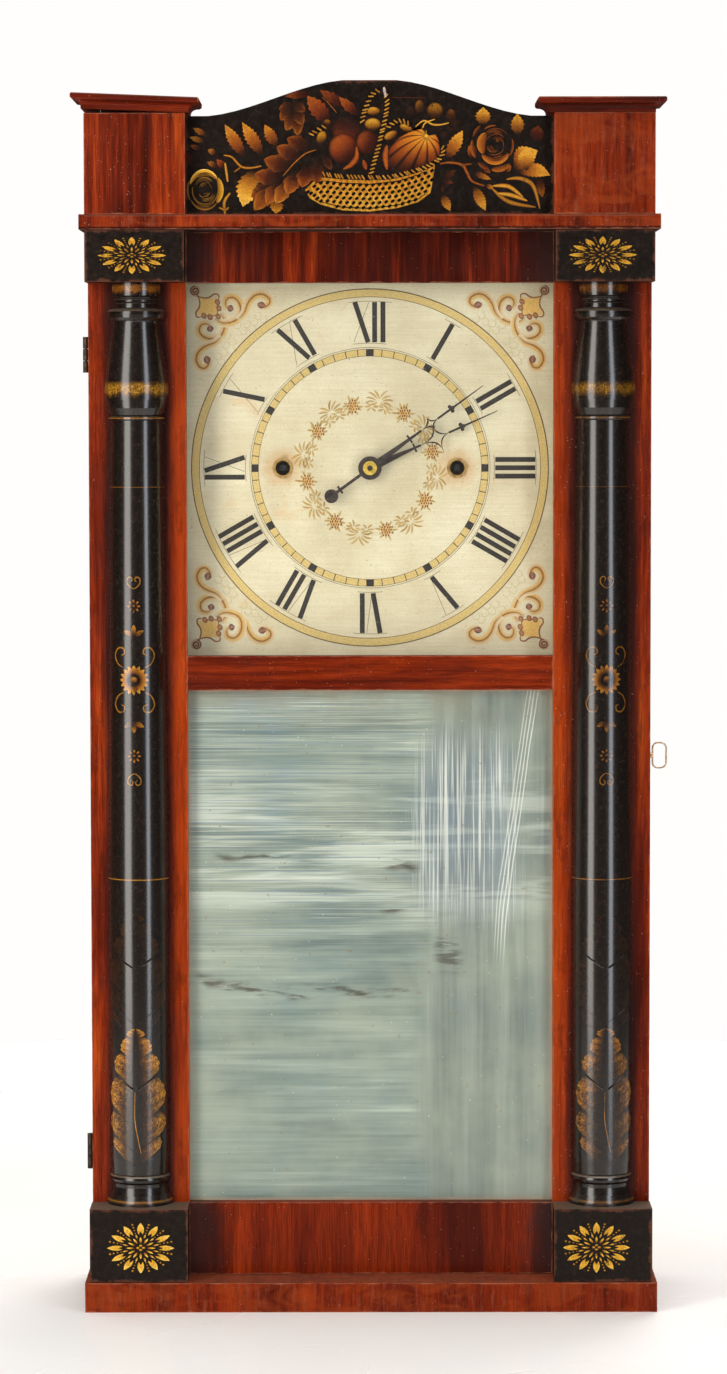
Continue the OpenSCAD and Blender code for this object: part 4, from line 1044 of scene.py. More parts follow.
# base, tip, width, shade, warmth and number of teeth of each leaf, in millimetres from the floor
SPLAT_LEAVES = [
    ((-90, 838), (-104.2, 861.5), 10.5, 0.72, 0.6, 9), ((-77, 839), (-91.6, 863), 11, 0.75, 0.6, 9),
    ((-66.5, 845), (-75.6, 861.4), 9.5, 0.68, 0.6, 7), ((-84, 829), (-91.4, 802.6), 19, 0.95, 0.3, 8),
    ((-117, 853.5), (-127, 859), 5, 0.6, 0.5, 4), ((-118.5, 849), (-129.5, 852.5), 4, 0.62, 0.4, 0),
    ((-121, 843.5), (-129, 846.5), 3.6, 0.42, 0.6, 0), ((-110, 840.5), (-116.5, 843.5), 5, 0.55, 0.5, 4),
    ((-125, 835), (-137, 839), 9, 0.34, 0.8, 4), ((-109, 831.5), (-117, 834.5), 5, 0.5, 0.5, 4),
    ((-104, 830), (-110, 836.5), 6, 0.52, 0.9, 4), ((-66.5, 808.5), (-67.6, 797.5), 11, 0.72, 0.4, 5),
    ((-15, 873), (-36, 886), 9, 0.42, 0.85, 5), ((-8, 867.5), (-22, 881), 8.5, 0.52, 0.8, 4),
    ((-28.5, 862), (-45, 882), 14, 0.56, 0.85, 6), ((-41.5, 883.5), (-61, 881.6), 6.5, 0.42, 0.85, 3),
    ((55.5, 836.5), (67, 857), 11, 0.82, 0.5, 8), ((81.5, 860.5), (81.6, 873.5), 12.5, 0.78, 0.3, 6),
    ((106.5, 853), (106.2, 869), 11, 0.72, 0.4, 6), ((119, 848), (121.5, 860.5), 12, 0.36, 0.9, 6),
    ((121.5, 823.5), (124.5, 809), 7.5, 0.45, 0.6, 5), ((75, 817.5), (83.4, 799.5), 9, 0.8, 0.4, 9),
    ((52, 811.5), (58, 799.3), 7.5, 0.72, 0.4, 6), ((74.5, 827), (87.5, 821.8), 5, 0.62, 0.5, 5),
    ((83.5, 818), (89, 815.5), 4, 0.66, 0.5, 3), ((52, 822), (62, 828.5), 5, 0.32, 0.7, 4),
    ((52, 821), (60, 819.5), 4.6, 0.34, 0.7, 3), ((52.5, 819.5), (52.5, 813), 2.6, 0.3, 0.6, 0),
    ((77.5, 840), (71.5, 846), 4.4, 0.5, 0.6, 0), ((73.5, 836), (71.5, 846.5), 4, 0.55, 0.7, 0),
    ((96, 828), (102, 831.5), 5.5, 0.5, 0.7, 0), ((80, 832), (87, 826.5), 4, 0.42, 0.7, 0),
]
# the drooping leaf and the big curled leaf are made of lobes: base, tip, width, shade, warmth
SPLAT_LOBES = [
    ((-52, 878), (-65.1, 872.1), 9, 0.46, 0.9), ((-53, 875), (-64.2, 864.4), 9, 0.52, 0.9),
    ((-54, 874), (-60.2, 857), 9.5, 0.56, 0.85), ((-54, 872), (-51.8, 853.4), 9, 0.56, 0.85),
    ((-55, 876), (-48, 861), 9, 0.5, 0.85), ((-57, 880), (-46.4, 870.5), 8, 0.44, 0.9),
    ((-39, 841), (-59.5, 851.6), 12, 0.5, 0.95), ((-45, 836), (-67, 845.4), 13, 0.55, 0.95),
    ((-51, 829), (-76, 836.6), 14, 0.56, 0.95), ((-58, 820), (-82.8, 826.2), 14, 0.55, 0.95),
    ((-66, 818), (-85.4, 809.8), 14, 0.56, 0.9), ((-66, 822), (-83.2, 800), 13, 0.74, 0.85),
    ((-62, 824), (-74.2, 804.6), 12, 0.7, 0.9), ((-57, 826), (-67.6, 805), 12, 0.78, 0.8),
    ((-51, 832), (-59.4, 811.6), 13, 0.68, 0.9), ((-44, 837), (-48.8, 816.4), 13, 0.6, 0.95),
    ((-38, 841), (-38.4, 818.8), 12, 0.5, 0.95), ((-36.5, 843), (-27.4, 829), 7, 0.4, 0.9),
    ((-50, 836), (-63, 838), 14, 0.34, 0.95), ((-60, 828), (-72, 822), 14, 0.32, 0.95),
]
# base, tip, width, shade, warmth, layer, number of teeth and bend
SPLAT_BENT_LEAVES = [
    ((104, 828.5), (121, 842.5), 17, 0.86, 0.45, 1, 9, 3),
    ((106, 826.8), (130, 824.6), 11, 0.86, 0.5, 2, 9, 3),
    ((113, 828), (113.6, 844.4), 13, 0.9, 0.4, 3, 8, 1),
]
# path and shade of the long blades below the right rose
SPLAT_BLADES = [
    ([(98.5, 822), (108, 822.6), (117.5, 817.5), (122.5, 801)], 0.62),
    ([(88, 815.5), (100, 806), (119.5, 802)], 0.6), ([(88.5, 817.2), (100, 816.8), (110.5, 809)], 0.74),
    ([(91.5, 812), (102, 810.6), (113.5, 806.5)], 0.76),
]
# path, width, shade, warmth
SPLAT_TWIGS = [
    ([(-105, 839.5), (-99, 838), (-92.5, 831.4), (-85, 830.4), (-78, 831.8)], 2.0, 0.62, 0.5),
    ([(-97.5, 827.5), (-92.5, 831)], 1.5, 0.5, 0.5), ([(-104, 834), (-102.2, 820.5)], 2.2, 0.7, 0.35),
    ([(-100.5, 812.5), (-104.6, 806), (-104.2, 797.3)], 2.6, 0.66, 0.35),
    ([(-108.5, 802), (-104.2, 800.5), (-101.5, 802)], 2.2, 0.6, 0.4),
    ([(33, 859.6), (39, 864), (45, 861.4), (50.6, 861), (57, 862.4)], 1.7, 0.78, 0.3),
    ([(38.2, 858.6), (40, 862.3), (47, 865)], 1.3, 0.8, 0.3),
    ([(50.6, 833.2), (57.7, 834), (66.5, 832.3), (70, 827), (73.6, 820.8), (82.5, 817.3)], 2.4, 0.5, 0.75),
    ([(66.5, 832.3), (73.6, 833)], 1.8, 0.42, 0.75),
    ([(-34, 881), (-29, 876), (-23.6, 869.6)], 0.9, 0.5, 0.7),
    ([(-38.5, 843.2), (-46, 840.6), (-54, 834), (-62.3, 824.6)], 1.1, 0.62, 0.7),
]
# centre, two radii, shade, warmth, angle of the lit side and turn
SPLAT_FRUIT = [
    ((-17, 858), 10.5, 10, 0.42, 0.9, 250, 0), ((-18.6, 844), 11, 11.2, 0.62, 0.92, 130, 0),
    ((-1.6, 848.5), 8.2, 9, 0.5, 0.92, 150, 0), ((-34.6, 851.8), 3.6, 5.2, 0.72, 0.3, 120, -20),
    ((-30.5, 862.4), 2.8, 2.8, 0.5, 0.5, 90, 0), ((2.8, 870.7), 5.0, 3.2, 0.82, 0.3, 110, 0),
    ((2.2, 861.4), 6.0, 4.5, 0.86, 0.25, 100, 0), ((26.2, 858.8), 5.0, 2.7, 0.82, 0.3, 120, -25),
    ((15.4, 853.5), 5.4, 3.0, 0.78, 0.4, 120, 25), ((47, 871.1), 5.9, 5.9, 0.6, 0.35, 90, 0),
    ((36, 873.8), 3.6, 5.4, 0.46, 0.4, 120, 0), ((58.6, 867.6), 3.6, 5.0, 0.42, 0.6, 90, 0),
    ((29.8, 870.3), 3.6, 4.4, 0.22, 0.6, 120, 0), ((59.5, 857.9), 4.0, 3.4, 0.26, 0.6, 90, 0),
    ((61.2, 861.4), 4.2, 3.6, 0.2, 0.7, 90, 0), ((53.2, 853.5), 3.2, 3.0, 0.22, 0.7, 90, 0),
]
# bright crescents between the fruit: path, width, shade, warmth
SPLAT_CRESCENTS = [
    ([(-9.5, 845.5), (-9.4, 838), (-13.5, 832.5), (-19, 829.4)], 4.6, 0.6, 0.95),
    ([(12.5, 846.5), (11.3, 838.5), (12.5, 829)], 5.0, 0.6, 0.95),
    ([(-4.5, 836), (-2.5, 829)], 4.0, 0.5, 0.9),
]
HANDLE_LEFT = [(-5.2, 862.2), (-5, 866), (-2.4, 873.9), (1, 881.4), (4.5, 884.8), (7.4, 885.8)]
HANDLE_RIGHT = [
    (11.6, 882.5), (12.6, 877.5), (12.2, 871.5), (10.7, 863), (8.9, 856), (6.7, 846.4), (3.6, 835.6),
    (0.8, 825),
]
BASKET_RIM = [
    (-34, 825.9), (-20, 824.2), (0, 823.4), (14, 823.8), (28, 826.8), (41, 831), (50, 836.5), (53, 842),
    (51.6, 846.6),
]
SPLAT_ROPES = [
    (HANDLE_LEFT, 3.3), (HANDLE_RIGHT, 3.3), ([(-43, 853.6), (-37, 857.6), (-31, 860.4)], 3.5),
    ([(12.4, 858.6), (18.7, 863.4), (24.9, 863.4), (29.6, 860.8)], 3.2),
    (BASKET_RIM, 3.2),
]
BASKET_TOP = [
    (-46.5, 814.5), (-41, 820), (-34, 823.5), (-20, 822), (0, 821.2), (20, 823.2), (35, 828), (47, 833),
]
BASKET_BOTTOM = [
    (-46.5, 814.5), (-43, 808.5), (-35, 804), (-20, 800), (0, 799), (20, 801.5), (35, 805.8), (44, 812.5),
    (47, 832),
]
# start and end angle, inner and outer share of the radius and shade of each petal
ROSE_LEFT = [
    (-75, 60, 0.72, 1.0, 0.86), (50, 135, 0.74, 1.08, 0.7), (130, 240, 0.86, 1.0, 0.5),
    (235, 300, 0.9, 1.02, 0.45), (-60, 50, 0.5, 0.62, 0.45), (200, 285, 0.66, 0.74, 0.5),
    (95, 190, 0.7, 0.78, 0.42),
]
ROSE_RIGHT = [
    (232, 322, 0.5, 0.96, 0.62), (120, 236, 0.66, 1.02, 0.66), (-38, 6, 0.9, 1.0, 0.5),
    (70, 130, 0.86, 1.0, 0.45), (236, 282, 1.1, 1.32, 0.5), (288, 322, 1.12, 1.3, 0.4),
    (196, 226, 1.12, 1.36, 0.4), (140, 190, 1.1, 1.4, 0.55),
]
MELON_STAR, MELON_RIBS = (40.8, 853.1), 9
MELON_EDGE = [
    (46.6, 855), (49.6, 850), (50.6, 843.5), (49.5, 837), (45, 831), (38, 827), (30, 825), (22, 825),
    (15.5, 828), (12.4, 834), (13, 841), (17, 847.6), (23.5, 853), (31, 856.6), (37.5, 858),
]


def at(points, share):
    """The point that share of the way along a list of points."""
    place = clamp(share) * (len(points) - 1)
    i = min(int(place), len(points) - 2)
    return blend(points[i], points[i + 1], place - i)


def height_at(points, x):
    """The height at x of a line through points that run from left to right."""
    for (ax, ay), (bx, by) in zip(points, points[1:]):
        if x <= bx:
            return ay + (by - ay) * (x - ax) / (bx - ax)
    return points[-1][1]


def leaf_ink(shade, warm):
    """Bronze that is speckled, brighter to the leaf's tip and dark at its foot."""
    def ink(s, t):
        edge = abs(2 * t - 1)
        tone = shade * (0.3 + 0.66 * clamp(s * 1.4)) * (0.88 + 0.12 * edge) * vary(0.86, 1.06)
        return bronze(tone, clamp(warm + 0.32 - 0.35 * s), clamp(s * 4 + 0.1))
    return ink


def lobe_ink(shade, warm):
    """Bronze that is bright at the lobe's rim and tip and gone at its foot."""
    def ink(s, t):
        edge = abs(2 * t - 1)
        tone = shade * clamp(0.12 + 0.95 * s ** 1.1) * (0.7 + 0.3 * edge ** 2) * vary(0.9, 1.05)
        return bronze(tone, clamp(warm - 0.25 * s * edge), clamp(s * 2.2))
    return ink


def fruit_ink(shade, warm, lit):
    """Bronze rubbed brightest towards one side of a round shape."""
    def ink(s, t):
        side = math.cos(s * math.tau - math.radians(lit))
        tone = shade * (0.62 + 0.4 * t * side) * (1 - 0.45 * t ** 8) * vary(0.95, 1.05)
        return bronze(tone * 0.92, clamp(warm + 0.2 * t * (1 - side)), 1 - 0.6 * t ** 10)
    return ink


def band_ink(shade, warm):
    """Bronze that fades to both sides of a stroke."""
    def ink(s, t):
        tone = shade * (1 - 0.3 * abs(2 * t - 1)) * vary(0.9, 1.05)
        return bronze(tone, warm, 1 - (2 * t - 1) ** 6)
    return ink


def paint_rope(art, path, width):
    """A twisted rope: slanted bright strokes on black."""
    curve = smooth(path, 8)
    art.stroke(curve, width * 1.15, plain(BLACK), 3, 0.0)
    lengths = [0.0]
    for a, b in zip(curve, curve[1:]):
        lengths.append(lengths[-1] + math.dist(a, b))
    count = int(lengths[-1] / 2.9)
    for k in range(count):
        target = (k + 0.5) * lengths[-1] / count
        i = min(sum(1 for v in lengths if v < target), len(curve) - 1)
        a, b = curve[i - 1], curve[i]
        size = math.dist(a, b) or 1
        dx, dy = (b[0] - a[0]) / size, (b[1] - a[1]) / size
        half, slant = width / 2, 1.1
        ends = [
            (a[0] - dy * half - dx * slant, a[1] + dx * half - dy * slant), a,
            (a[0] + dy * half + dx * slant, a[1] - dx * half + dy * slant),
        ]
        art.stroke(smooth(ends, 3), 1.75, band_ink(vary(0.62, 0.82), 0.45), 4, 0.35)


def paint_basket(art):
    """The woven basket's body, with rows of dark holes."""
    def body(s, t):
        x = -46.5 + 93.5 * s
        return x, blend(height_at(BASKET_TOP, x), height_at(BASKET_BOTTOM, x), t)

    def ink(s, t):
        glow = 0.78 + 0.2 * math.sin(math.pi * clamp(s * 1.1)) * t
        weave = 0.9 + 0.12 * math.sin(s * 132)
        return bronze(0.9 * glow * weave * vary(0.86, 1.06), 0.55 - 0.3 * t)

    art.patch(body, ink, 110, 10, 1)
    for row in range(6):
        for column in range(20):
            x = -44.5 + column * 4.7 + (2.35 if row % 2 else 0)
            top, bottom = height_at(BASKET_TOP, x), height_at(BASKET_BOTTOM, x)
            z = top - 3.4 - row * 3.25 - (0 if x < 20 else (x - 20) * 0.02)
            if z - bottom < 1.6 or x > 46:
                continue
            ends = smooth([(x - 1.2, z - 0.9), (x + 1.2, z + 0.9)], 3)
            art.stroke(ends, 2.2, plain(BLACK, 0.97), 3, 0.3)
    for share in (0.12, 0.9):
        line = [body(i / 40, share) for i in range(3, 38)]
        art.stroke(line, 0.8, plain(BLACK, 0.5), 2, 0.2)


def paint_melon(art):
    """A ribbed melon seen from its star, fading into the dark below."""
    edge = smooth(MELON_EDGE, 6)

    def shape(s, t):
        x, z = blend(MELON_STAR, at(edge, s), t)
        bulge = math.sin(math.pi * t)
        return x + 2.5 * bulge * (1 - 2 * s), z + 4.5 * bulge * s ** 2

    def ink(s, t):
        rib = 1 - 0.9 * (2 * abs((s * MELON_RIBS) % 1.0 - 0.5)) ** 6
        low = clamp((at(edge, s)[1] * t + MELON_STAR[1] * (1 - t) - 824) / 24)
        tone = (0.16 + 0.5 * low) * (1.08 - 0.4 * t) * rib * vary(0.93, 1.04)
        return bronze(tone * 1.15, 0.7 + 0.3 * t, 1 - 0.8 * t ** 12)

    art.patch(shape, ink, MELON_RIBS * 10, 10, 1)
    art.disc(MELON_STAR, 1.5, 1.3, lambda s, t: bronze(0.9 - 0.3 * t, 0.2), 3, 0, 2, 12)
    for k in range(MELON_RIBS):
        end = polar(MELON_STAR, 4.2, 150 + k * 26)
        art.stroke(smooth([MELON_STAR, end], 3), 0.9, band_ink(0.75, 0.4), 2, 0.6)


def paint_rose(art, centre, rx, ry, petals, warm):
    """A rose: bright outer petals round a dark heart with thin curved lines.

    Each petal is (start and end angle clockwise from straight up, inner and outer share of the radius,
    shade).
    """
    def oval(share, angle):
        x, y = polar((0, 0), share, angle)
        return centre[0] + rx * x, centre[1] + ry * y

    for start, end, inner, outer, shade in petals:
        def shape(s, t):
            swell = math.sin(math.pi * s) ** 0.5
            share = (inner + outer) / 2 + (t - 0.5) * (outer - inner) * swell
            return oval(share, start + (end - start) * s)

        def ink(s, t):
            tone = shade * (0.5 + 0.55 * t) * vary(0.94, 1.05)
            return bronze(tone, warm, 1 - (2 * s - 1) ** 8)
        art.patch(shape, ink, 24, 4, 1)
    for k in range(11):
        share = 0.2 + 0.062 * k
        start = 150 + vary(-50, 60)
        for side in (0, 180):
            reach = vary(45, 95)
            line = [oval(share, start + side + reach * i / 8) for i in range(9)]
            art.stroke(line, 0.75, band_ink(vary(0.35, 0.6), warm), 3, 0.8)


def paint_splat():
    """The stencilled basket of fruit between two roses."""
    art = Painting(on_front(0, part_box("splat")[0].y, 0))
    for base, tip, width, shade, warm, teeth in SPLAT_LEAVES:
        art.leaf(base, tip, width, leaf_ink(shade, warm), 1, teeth, 0.3)
    for base, tip, width, shade, warm in SPLAT_LOBES:
        art.leaf(base, tip, width, lobe_ink(shade, warm), 2, 3, 0.22, vary(-1, 1), 1.25)
    for base, tip, width, shade, warm, layer, teeth, bend in SPLAT_BENT_LEAVES:
        art.leaf(base, tip, width, leaf_ink(shade, warm), layer, teeth, 0.2, bend, 0.9)
    for path, shade in SPLAT_BLADES:
        art.stroke(smooth(path, 8), 3.6, band_ink(shade, 0.45), 1, 0.75, 4)
    for centre, rx, ry, shade, warm, lit, turn in SPLAT_FRUIT:
        art.disc(centre, rx, ry, fruit_ink(shade, warm, lit), 2, turn)
    for path, width, shade, warm in SPLAT_CRESCENTS:
        art.stroke(smooth(path, 8), width, band_ink(shade, warm), 3, 0.85, 4)
    paint_melon(art)
    paint_basket(art)
    for path, width, shade, warm in SPLAT_TWIGS:
        art.stroke(smooth(path, 8), width, band_ink(shade, warm), 4, 0.5, 4)
    for path, width in SPLAT_ROPES:
        paint_rope(art, path, width)
    art.stroke(smooth([(10.3, 888), (10.8, 885), (11.6, 880.8)], 4), 1.9, plain("b9a798", 0.9), 5, 0.5)
    art.stroke([(13, 880.6), (40, 880.2)], 0.6, plain("6b241b", 0.5), 2, 0.3)
    paint_rose(art, (-118.7, 814.8), 12.6, 14.8, ROSE_LEFT, 0.25)
    paint_rose(art, (90.2, 846.8), 13.6, 14.2, ROSE_RIGHT, 0.8)
    art.build("splat_stencil", lacquer("splat", 0.5), "case")


# ---------------------------------------------------------------- rosettes and column stencils

# x and z of each rosette's middle, its half height, its strength and the wear of its ground
ROSETTES = {
    "block_top_left": (-170.8, 767.3, 13.2, 0.85, 1.0),
    "block_top_right": (167.2, 767.3, 13.2, 0.8, 1.0),
    "block_bottom_left": (-167.9, 47.1, 18.6, 1.0, 0.4),
    "block_bottom_right": (164.3, 47.1, 18.6, 0.92, 0.8),
}
ROSETTE_HALF_WIDTH = 24.5


def paint_rosette(node):
    """A rosette on a corner block: swallow-tailed petals round thin ones and a four-lobed middle."""
    x, z, half_height, strength, worn = ROSETTES[node]
    face = on_front(x * MM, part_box(node)[0].y, z * MM)
    art = Painting(lambda u, v, lift: face(u * ROSETTE_HALF_WIDTH, v * half_height, lift))
    for k in range(12):
        angle = 30 * k

        def petal(s, t):
            q = 2 * t - 1
            r = 0.54 + 0.46 * s + 0.13 * (1 - abs(q)) * (1 - s)
            return polar((0, 0), r, angle + q * 8 * math.sin(math.pi * (0.27 + 0.73 * s)))

        def ink(s, t):
            return bronze(strength * (0.74 + 0.22 * s) * vary(0.75, 1.08), 0.12)

        art.patch(petal, ink, 10, 6, 1)
        for inner, outer, lean, width in ((0.17, 0.44, 0, 0.065), (0.36, 0.56, 15, 0.05)):
            ends = [polar((0, 0), r, angle + lean) for r in (inner, outer)]
            art.leaf(*ends, width, leaf_ink(strength, 0.0), 2, 0, 0.0)
        for i in range(4):
            dot = polar((0, 0), 0.6 + 0.115 * i, angle + 15)
            size = 0.022 + 0.006 * i
            art.disc(dot, size, size * 1.2, fruit_ink(strength * 0.95, 0.1, 90), 2, 0, 2, 8)
    for k in range(4):
        art.disc(polar((0, 0), 0.085, 90 * k), 0.055, 0.055, fruit_ink(strength, 0.1, 90), 2, 0, 3, 12)
    art.build("rosette_" + node, lacquer(node, worn), "door")


COLUMN_AXIS_Y = -36
COLUMN_RADII = [
    (24.5, 77.5), (23.2, 80), (20.6, 88.5), (20.6, 91), (22.7, 94.5), (21.6, 98.4), (22.2, 110), (22.3, 315),
    (21.2, 480), (19.4, 649), (20.5, 650.5), (19.9, 653), (21.8, 658), (23, 664), (23.3, 671), (22.6, 683),
    (20.6, 698), (18.6, 711), (17.4, 720), (22.2, 725.5), (16, 730.5), (17.6, 739.5), (17.6, 748.5),
]
MOTIF_U = -1.9
HALF_TURN = 1.45
# height, width and shade of each band, then low, high, shade and warmth of each cuff
COLUMN_BANDS = [(600.9, 1.0, 0.4), (315.5, 1.3, 0.6), (78.8, 1.8, 0.5), (650.6, 1.8, 0.55)]
COLUMN_CUFFS = [(739.2, 748.2, 0.62, 0.6), (664, 678, 0.6, 0.15)]
SCROLL = [(0, 0), (2.4, 1.2), (4.6, 4), (4.4, 7.4), (2, 8.4), (0.9, 6.4), (2.2, 5)]
SUNFLOWER_Z = 461.2
SUNFLOWER_ARM = [(8, 9), (13, 12), (15.5, 18), (12.5, 23), (8, 23), (7, 19.4), (9.6, 18)]
FOOT_LEAF_Z = 113
# outline of half the foot leaf from its tip: distance round the column from the leaf's middle, and height
LEAF_EDGE = [
    (1, 207), (6, 204), (9.5, 199), (13, 191), (17.2, 184), (21, 172), (25, 157), (25.4, 142), (24, 131),
    (20.5, 121), (13, 113),
]
LEAF_LOBES = 6
LEAF_TEETH = 24


def column_radius(z):
    for (ra, za), (rb, zb) in zip(COLUMN_RADII, COLUMN_RADII[1:]):
        if z <= zb:
            return ra + (rb - ra) * clamp((z - za) / (zb - za))
    return COLUMN_RADII[-1][0]


def on_column(x):
    """Wraps painting round a column: u is the distance round it from the front line, and v the height."""
    def place(u, v, lift):
        radius = column_radius(v)
        a = u / radius
        reach = radius + lift
        return (x + reach * math.sin(a)) * MM, (COLUMN_AXIS_Y - reach * math.cos(a)) * MM, v * MM
    return place


def paint_column(node, x, strength, worn):
    """Thin bands, ragged cuffs, a sunflower between small flowers and scrolls, and a leaf at the foot."""
    art = Painting(on_column(x))
    u = MOTIF_U if x < 0 else -MOTIF_U

    for z, width, shade in COLUMN_BANDS:
        half_turn = HALF_TURN * column_radius(z)
        path = [(half_turn * (i / 20 - 1), z) for i in range(41)]
        art.stroke(path, width, band_ink(shade * strength, 0.35), 1, 0.0)
    for low, high, shade, warm in COLUMN_CUFFS:
        half_turn = HALF_TURN * column_radius(low)

        def cuff(s, t):
            return half_turn * (2 * s - 1), blend(low, high, t)

        def ink(s, t):
            wander = 0.5 + 0.3 * math.sin(23 * s) + 0.2 * math.sin(57 * s + 1)
            fade = clamp(3 * (t - 0.22 * wander)) * clamp(3.5 * (1 - t))
            tone = shade * strength * vary(0.35, 1.2) * (0.55 + 0.45 * fade)
            return bronze(tone, warm, clamp(fade * vary(0.3, 1.7)))

        art.patch(cuff, ink, 170, 22, 1)

    def scrolls(z, up):
        for side in (-1, 1):
            curve = smooth([(u + side * a, z + up * (b - 4)) for a, b in SCROLL], 4)
            art.stroke(curve, 1.3, band_ink(0.62 * strength, 0.3), 1, 0.5)

    def flower(z, reach, petals, shade):
        for k in range(petals):
            angle = 360 * k / petals
            foot, tip = polar((u, z), reach * 0.32, angle), polar((u, z), reach, angle)
            art.leaf(foot, tip, reach * 0.3, leaf_ink(shade * strength, 0.3), 2, 0, 0.0)
        art.disc((u, z), reach * 0.24, reach * 0.24, fruit_ink(shade * strength, 0.4, 90), 2, 0, 3, 14)

    def sprig(z, middle):
        for angle in (middle - 60, middle, middle + 60):
            art.leaf((u, z), polar((u, z), 8.5, angle), 3.4, leaf_ink(0.6 * strength, 0.3), 1, 0, 0.0)

    scrolls(531.5, 1)
    flower(514.8, 5, 8, 0.62)
    sprig(493, 0)
    flower(SUNFLOWER_Z, 11, 16, 0.72)
    for side in (-1, 1):
        for up in (-1, 1):
            curve = smooth([(u + side * a, SUNFLOWER_Z + up * b) for a, b in SUNFLOWER_ARM], 5)
            art.stroke(curve, 1.8, band_ink(0.6 * strength, 0.35), 1, 0.5)
    sprig(431, 180)
    flower(405.9, 5, 8, 0.62)
    scrolls(389.2, -1)

    edge = smooth(LEAF_EDGE, 8)
    for low, grow, shade, layer in ((208, 0.88, 0.24, 0), (FOOT_LEAF_Z, 1.0, 0.74, 1)):
        for side in (-1, 1):
            def half_leaf(s, t):
                reach, height = at(edge, s)
                lobe = abs(math.sin(math.pi * LEAF_LOBES * s)) ** 0.7
                tooth = 0.55 * math.sin(math.tau * LEAF_TEETH * s)
                far = reach * (0.68 + 0.32 * lobe) + tooth * lobe
                across = far * (1 - 0.9 * t)
                return u + side * across, low + grow * (height - FOOT_LEAF_Z - 0.75 * (far - across))

            def ink(s, t):
                lobe = abs(math.sin(math.pi * LEAF_LOBES * (s + 0.02 * t)))
                vein = 0.9 + 0.1 * math.sin(math.tau * LEAF_TEETH * s + 7 * t)
                tone = shade * strength * (1 - 0.6 * t) * vein * vary(0.5, 1.25)
                gap = clamp(2.6 * lobe + 0.8 * t - 0.5)
                cover = gap * clamp(1.5 - 1.6 * t) * clamp(vary(0.3, 1.7))
                return bronze(tone, 0.42, cover)

            art.patch(half_leaf, ink, 190, 26, layer)
    stem = [(u + 3.6, 115), (u + 1.2, 127), (u - 0.8, 140), (u - 0.6, 160)]
    art.stroke(smooth(stem, 8), 1.0, band_ink(0.7 * strength, 0.3), 3, 0.5)
    art.build("stencil_" + node, lacquer(node, worn), "door")


# ---------------------------------------------------------------- cords

CORD_R = 1.0
CORD_Y = 36
DRUM_AT, DRUM_CORD_R = (64, 614), 15
PULLEY_AT, PULLEY_CORD_R = (151, 755), 14
DROP_TOP, DROP_FOOT = 754.5, 179.6
CORD_SIDES = 12
CORD_RING = 0.8
CORD_TWIST = 5.2


def arc(centre, radius, start, end):
    """Points every few degrees on an arc, from start to end in degrees from +X towards up."""
    count = max(int(abs(end - start) / 5), 2)
    turns = [math.radians(start + (end - start) * i / count) for i in range(count + 1)]
    return [(centre[0] + radius * math.cos(a), centre[1] + radius * math.sin(a)) for a in turns]


def spaced(path, gap):
    """The same path with points that gap apart."""
    out = []
    for a, b in zip(path, path[1:]):
        count = max(int(math.dist(a, b) / gap), 1)
        out.extend(blend(a, b, i / count) for i in range(count))
    return [*out, path[-1]]


def cord(name, path, side, material):
    """A three-strand cord along a path in the plane of the cords; side is 1 or -1 for its half."""
    points, faces = [], []
    run = 0.0
    for i, (x, z) in enumerate(path):
        a, b = path[max(i - 1, 0)], path[min(i + 1, len(path) - 1)]
        size = math.dist(a, b)
        dx, dz = (b[0] - a[0]) / size, (b[1] - a[1]) / size
        if i:
            run += math.dist(path[i - 1], (x, z))
        for k in range(CORD_SIDES):
            turn = math.tau * k / CORD_SIDES
            r = CORD_R * (0.84 + 0.16 * math.cos(3 * turn - math.tau * run / CORD_TWIST))
            across, deep = r * math.cos(turn), r * math.sin(turn)
            points.append((side * (x - dz * across) * MM, (CORD_Y + deep) * MM, (z + dx * across) * MM))
        if i:
            start = (i - 1) * CORD_SIDES
            for k in range(CORD_SIDES):
                m = (k + 1) % CORD_SIDES
                face = (start + k, start + m, start + m + CORD_SIDES, start + k + CORD_SIDES)
                faces.append(face if side > 0 else face[::-1])
    faces.append(tuple(range(CORD_SIDES))[::-side])
    faces.append(tuple(range(len(points) - CORD_SIDES, len(points)))[::side])
    piece = new_mesh(name, points, faces, material)
    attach(piece, "case")
    return piece


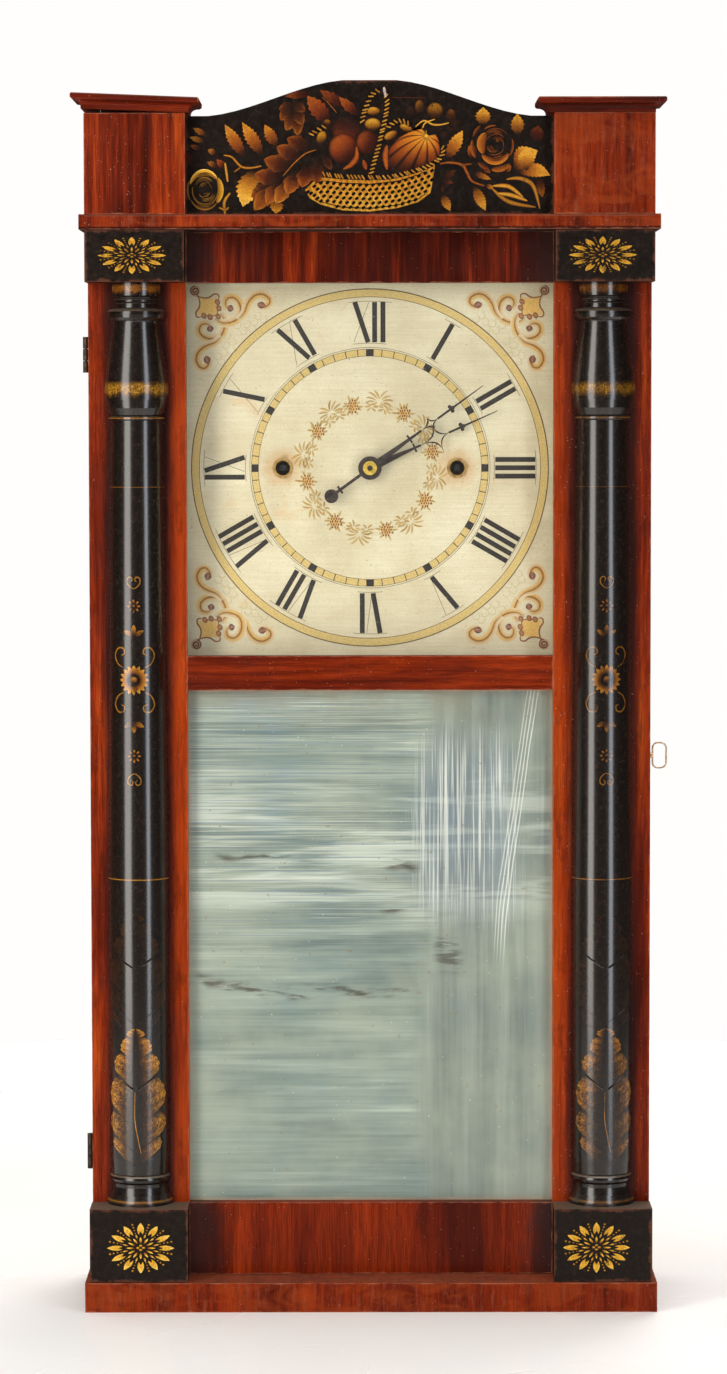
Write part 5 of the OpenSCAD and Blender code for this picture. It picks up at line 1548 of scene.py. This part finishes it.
def make_cords():
    """Each weight's cord: once round its drum, up over its pulley, and down to the weight's eye."""
    s = Shader("flax_cord", Sheen_Weight=0.3)
    fibres = s.noise((900, 900, 260), 3, 0.7)
    dirt = s.noise(30, 3, 0.6)
    base = s.ramp(fibres, (0.3, "8d744a"), (0.7, "c9b080"))
    base = s.tint(base, s.step(dirt, 0.4, 0.7, 0.0, 0.6), "5a4628")
    s.bump(fibres, 0.0001)
    material = s.finish(base, s.step(fibres, 0.3, 0.7, 0.8, 0.92))
    span = (PULLEY_AT[0] - DRUM_AT[0], PULLEY_AT[1] - DRUM_AT[1])
    cross = math.degrees(math.asin((DRUM_CORD_R + PULLEY_CORD_R) / math.hypot(*span)))
    normal = math.degrees(math.atan2(span[1], span[0])) - 90 + cross
    run = arc(DRUM_AT, DRUM_CORD_R, normal - 330, normal) + arc(PULLEY_AT, PULLEY_CORD_R, normal + 180, 0)
    drop_x = PULLEY_AT[0] + PULLEY_CORD_R
    drop = spaced([(drop_x, DROP_TOP), (drop_x, DROP_FOOT)], CORD_RING)
    for train, side in (("time", 1), ("strike", -1)):
        piece = cord(train + "_cord_over_pulley", spaced(run, CORD_RING), side, material)
        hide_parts(train + "_cord_run")
        hanging = cord(train + "_cord_hanging", drop, side, material)
        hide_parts(train + "_cord_drop")
        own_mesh(hanging)


# ---------------------------------------------------------------- all together


def make_floor():
    """A plain pale round floor."""
    s = Shader("pale_floor", Specular_IOR_Level=0.3)
    base = s.mix(s.noise(0.6, 2, 0.5), colour("f4f2f0"), colour("f9f7f5"))
    radius, sides = 1.3, 96
    material = s.finish(base, s.step(s.noise(3, 2, 0.5), 0.3, 0.7, 0.22, 0.3))
    rim = [(*polar((0, 0), radius, 90 - 360 * i / sides), 0) for i in range(sides)]
    floor = new_mesh("floor", rim, [tuple(range(sides))], material)


make_camera()
make_lights()
make_floor()
paint_frame()
paint_dial()
paint_splat()
for rosette in ROSETTES:
    paint_rosette(rosette)
paint_column("column_left", -COLUMN_X / MM, 1.0, 0.9)
paint_column("column_right", COLUMN_X / MM, 0.8, 1.1)
make_cords()
bpy.context.scene.view_settings.view_transform = "Standard"
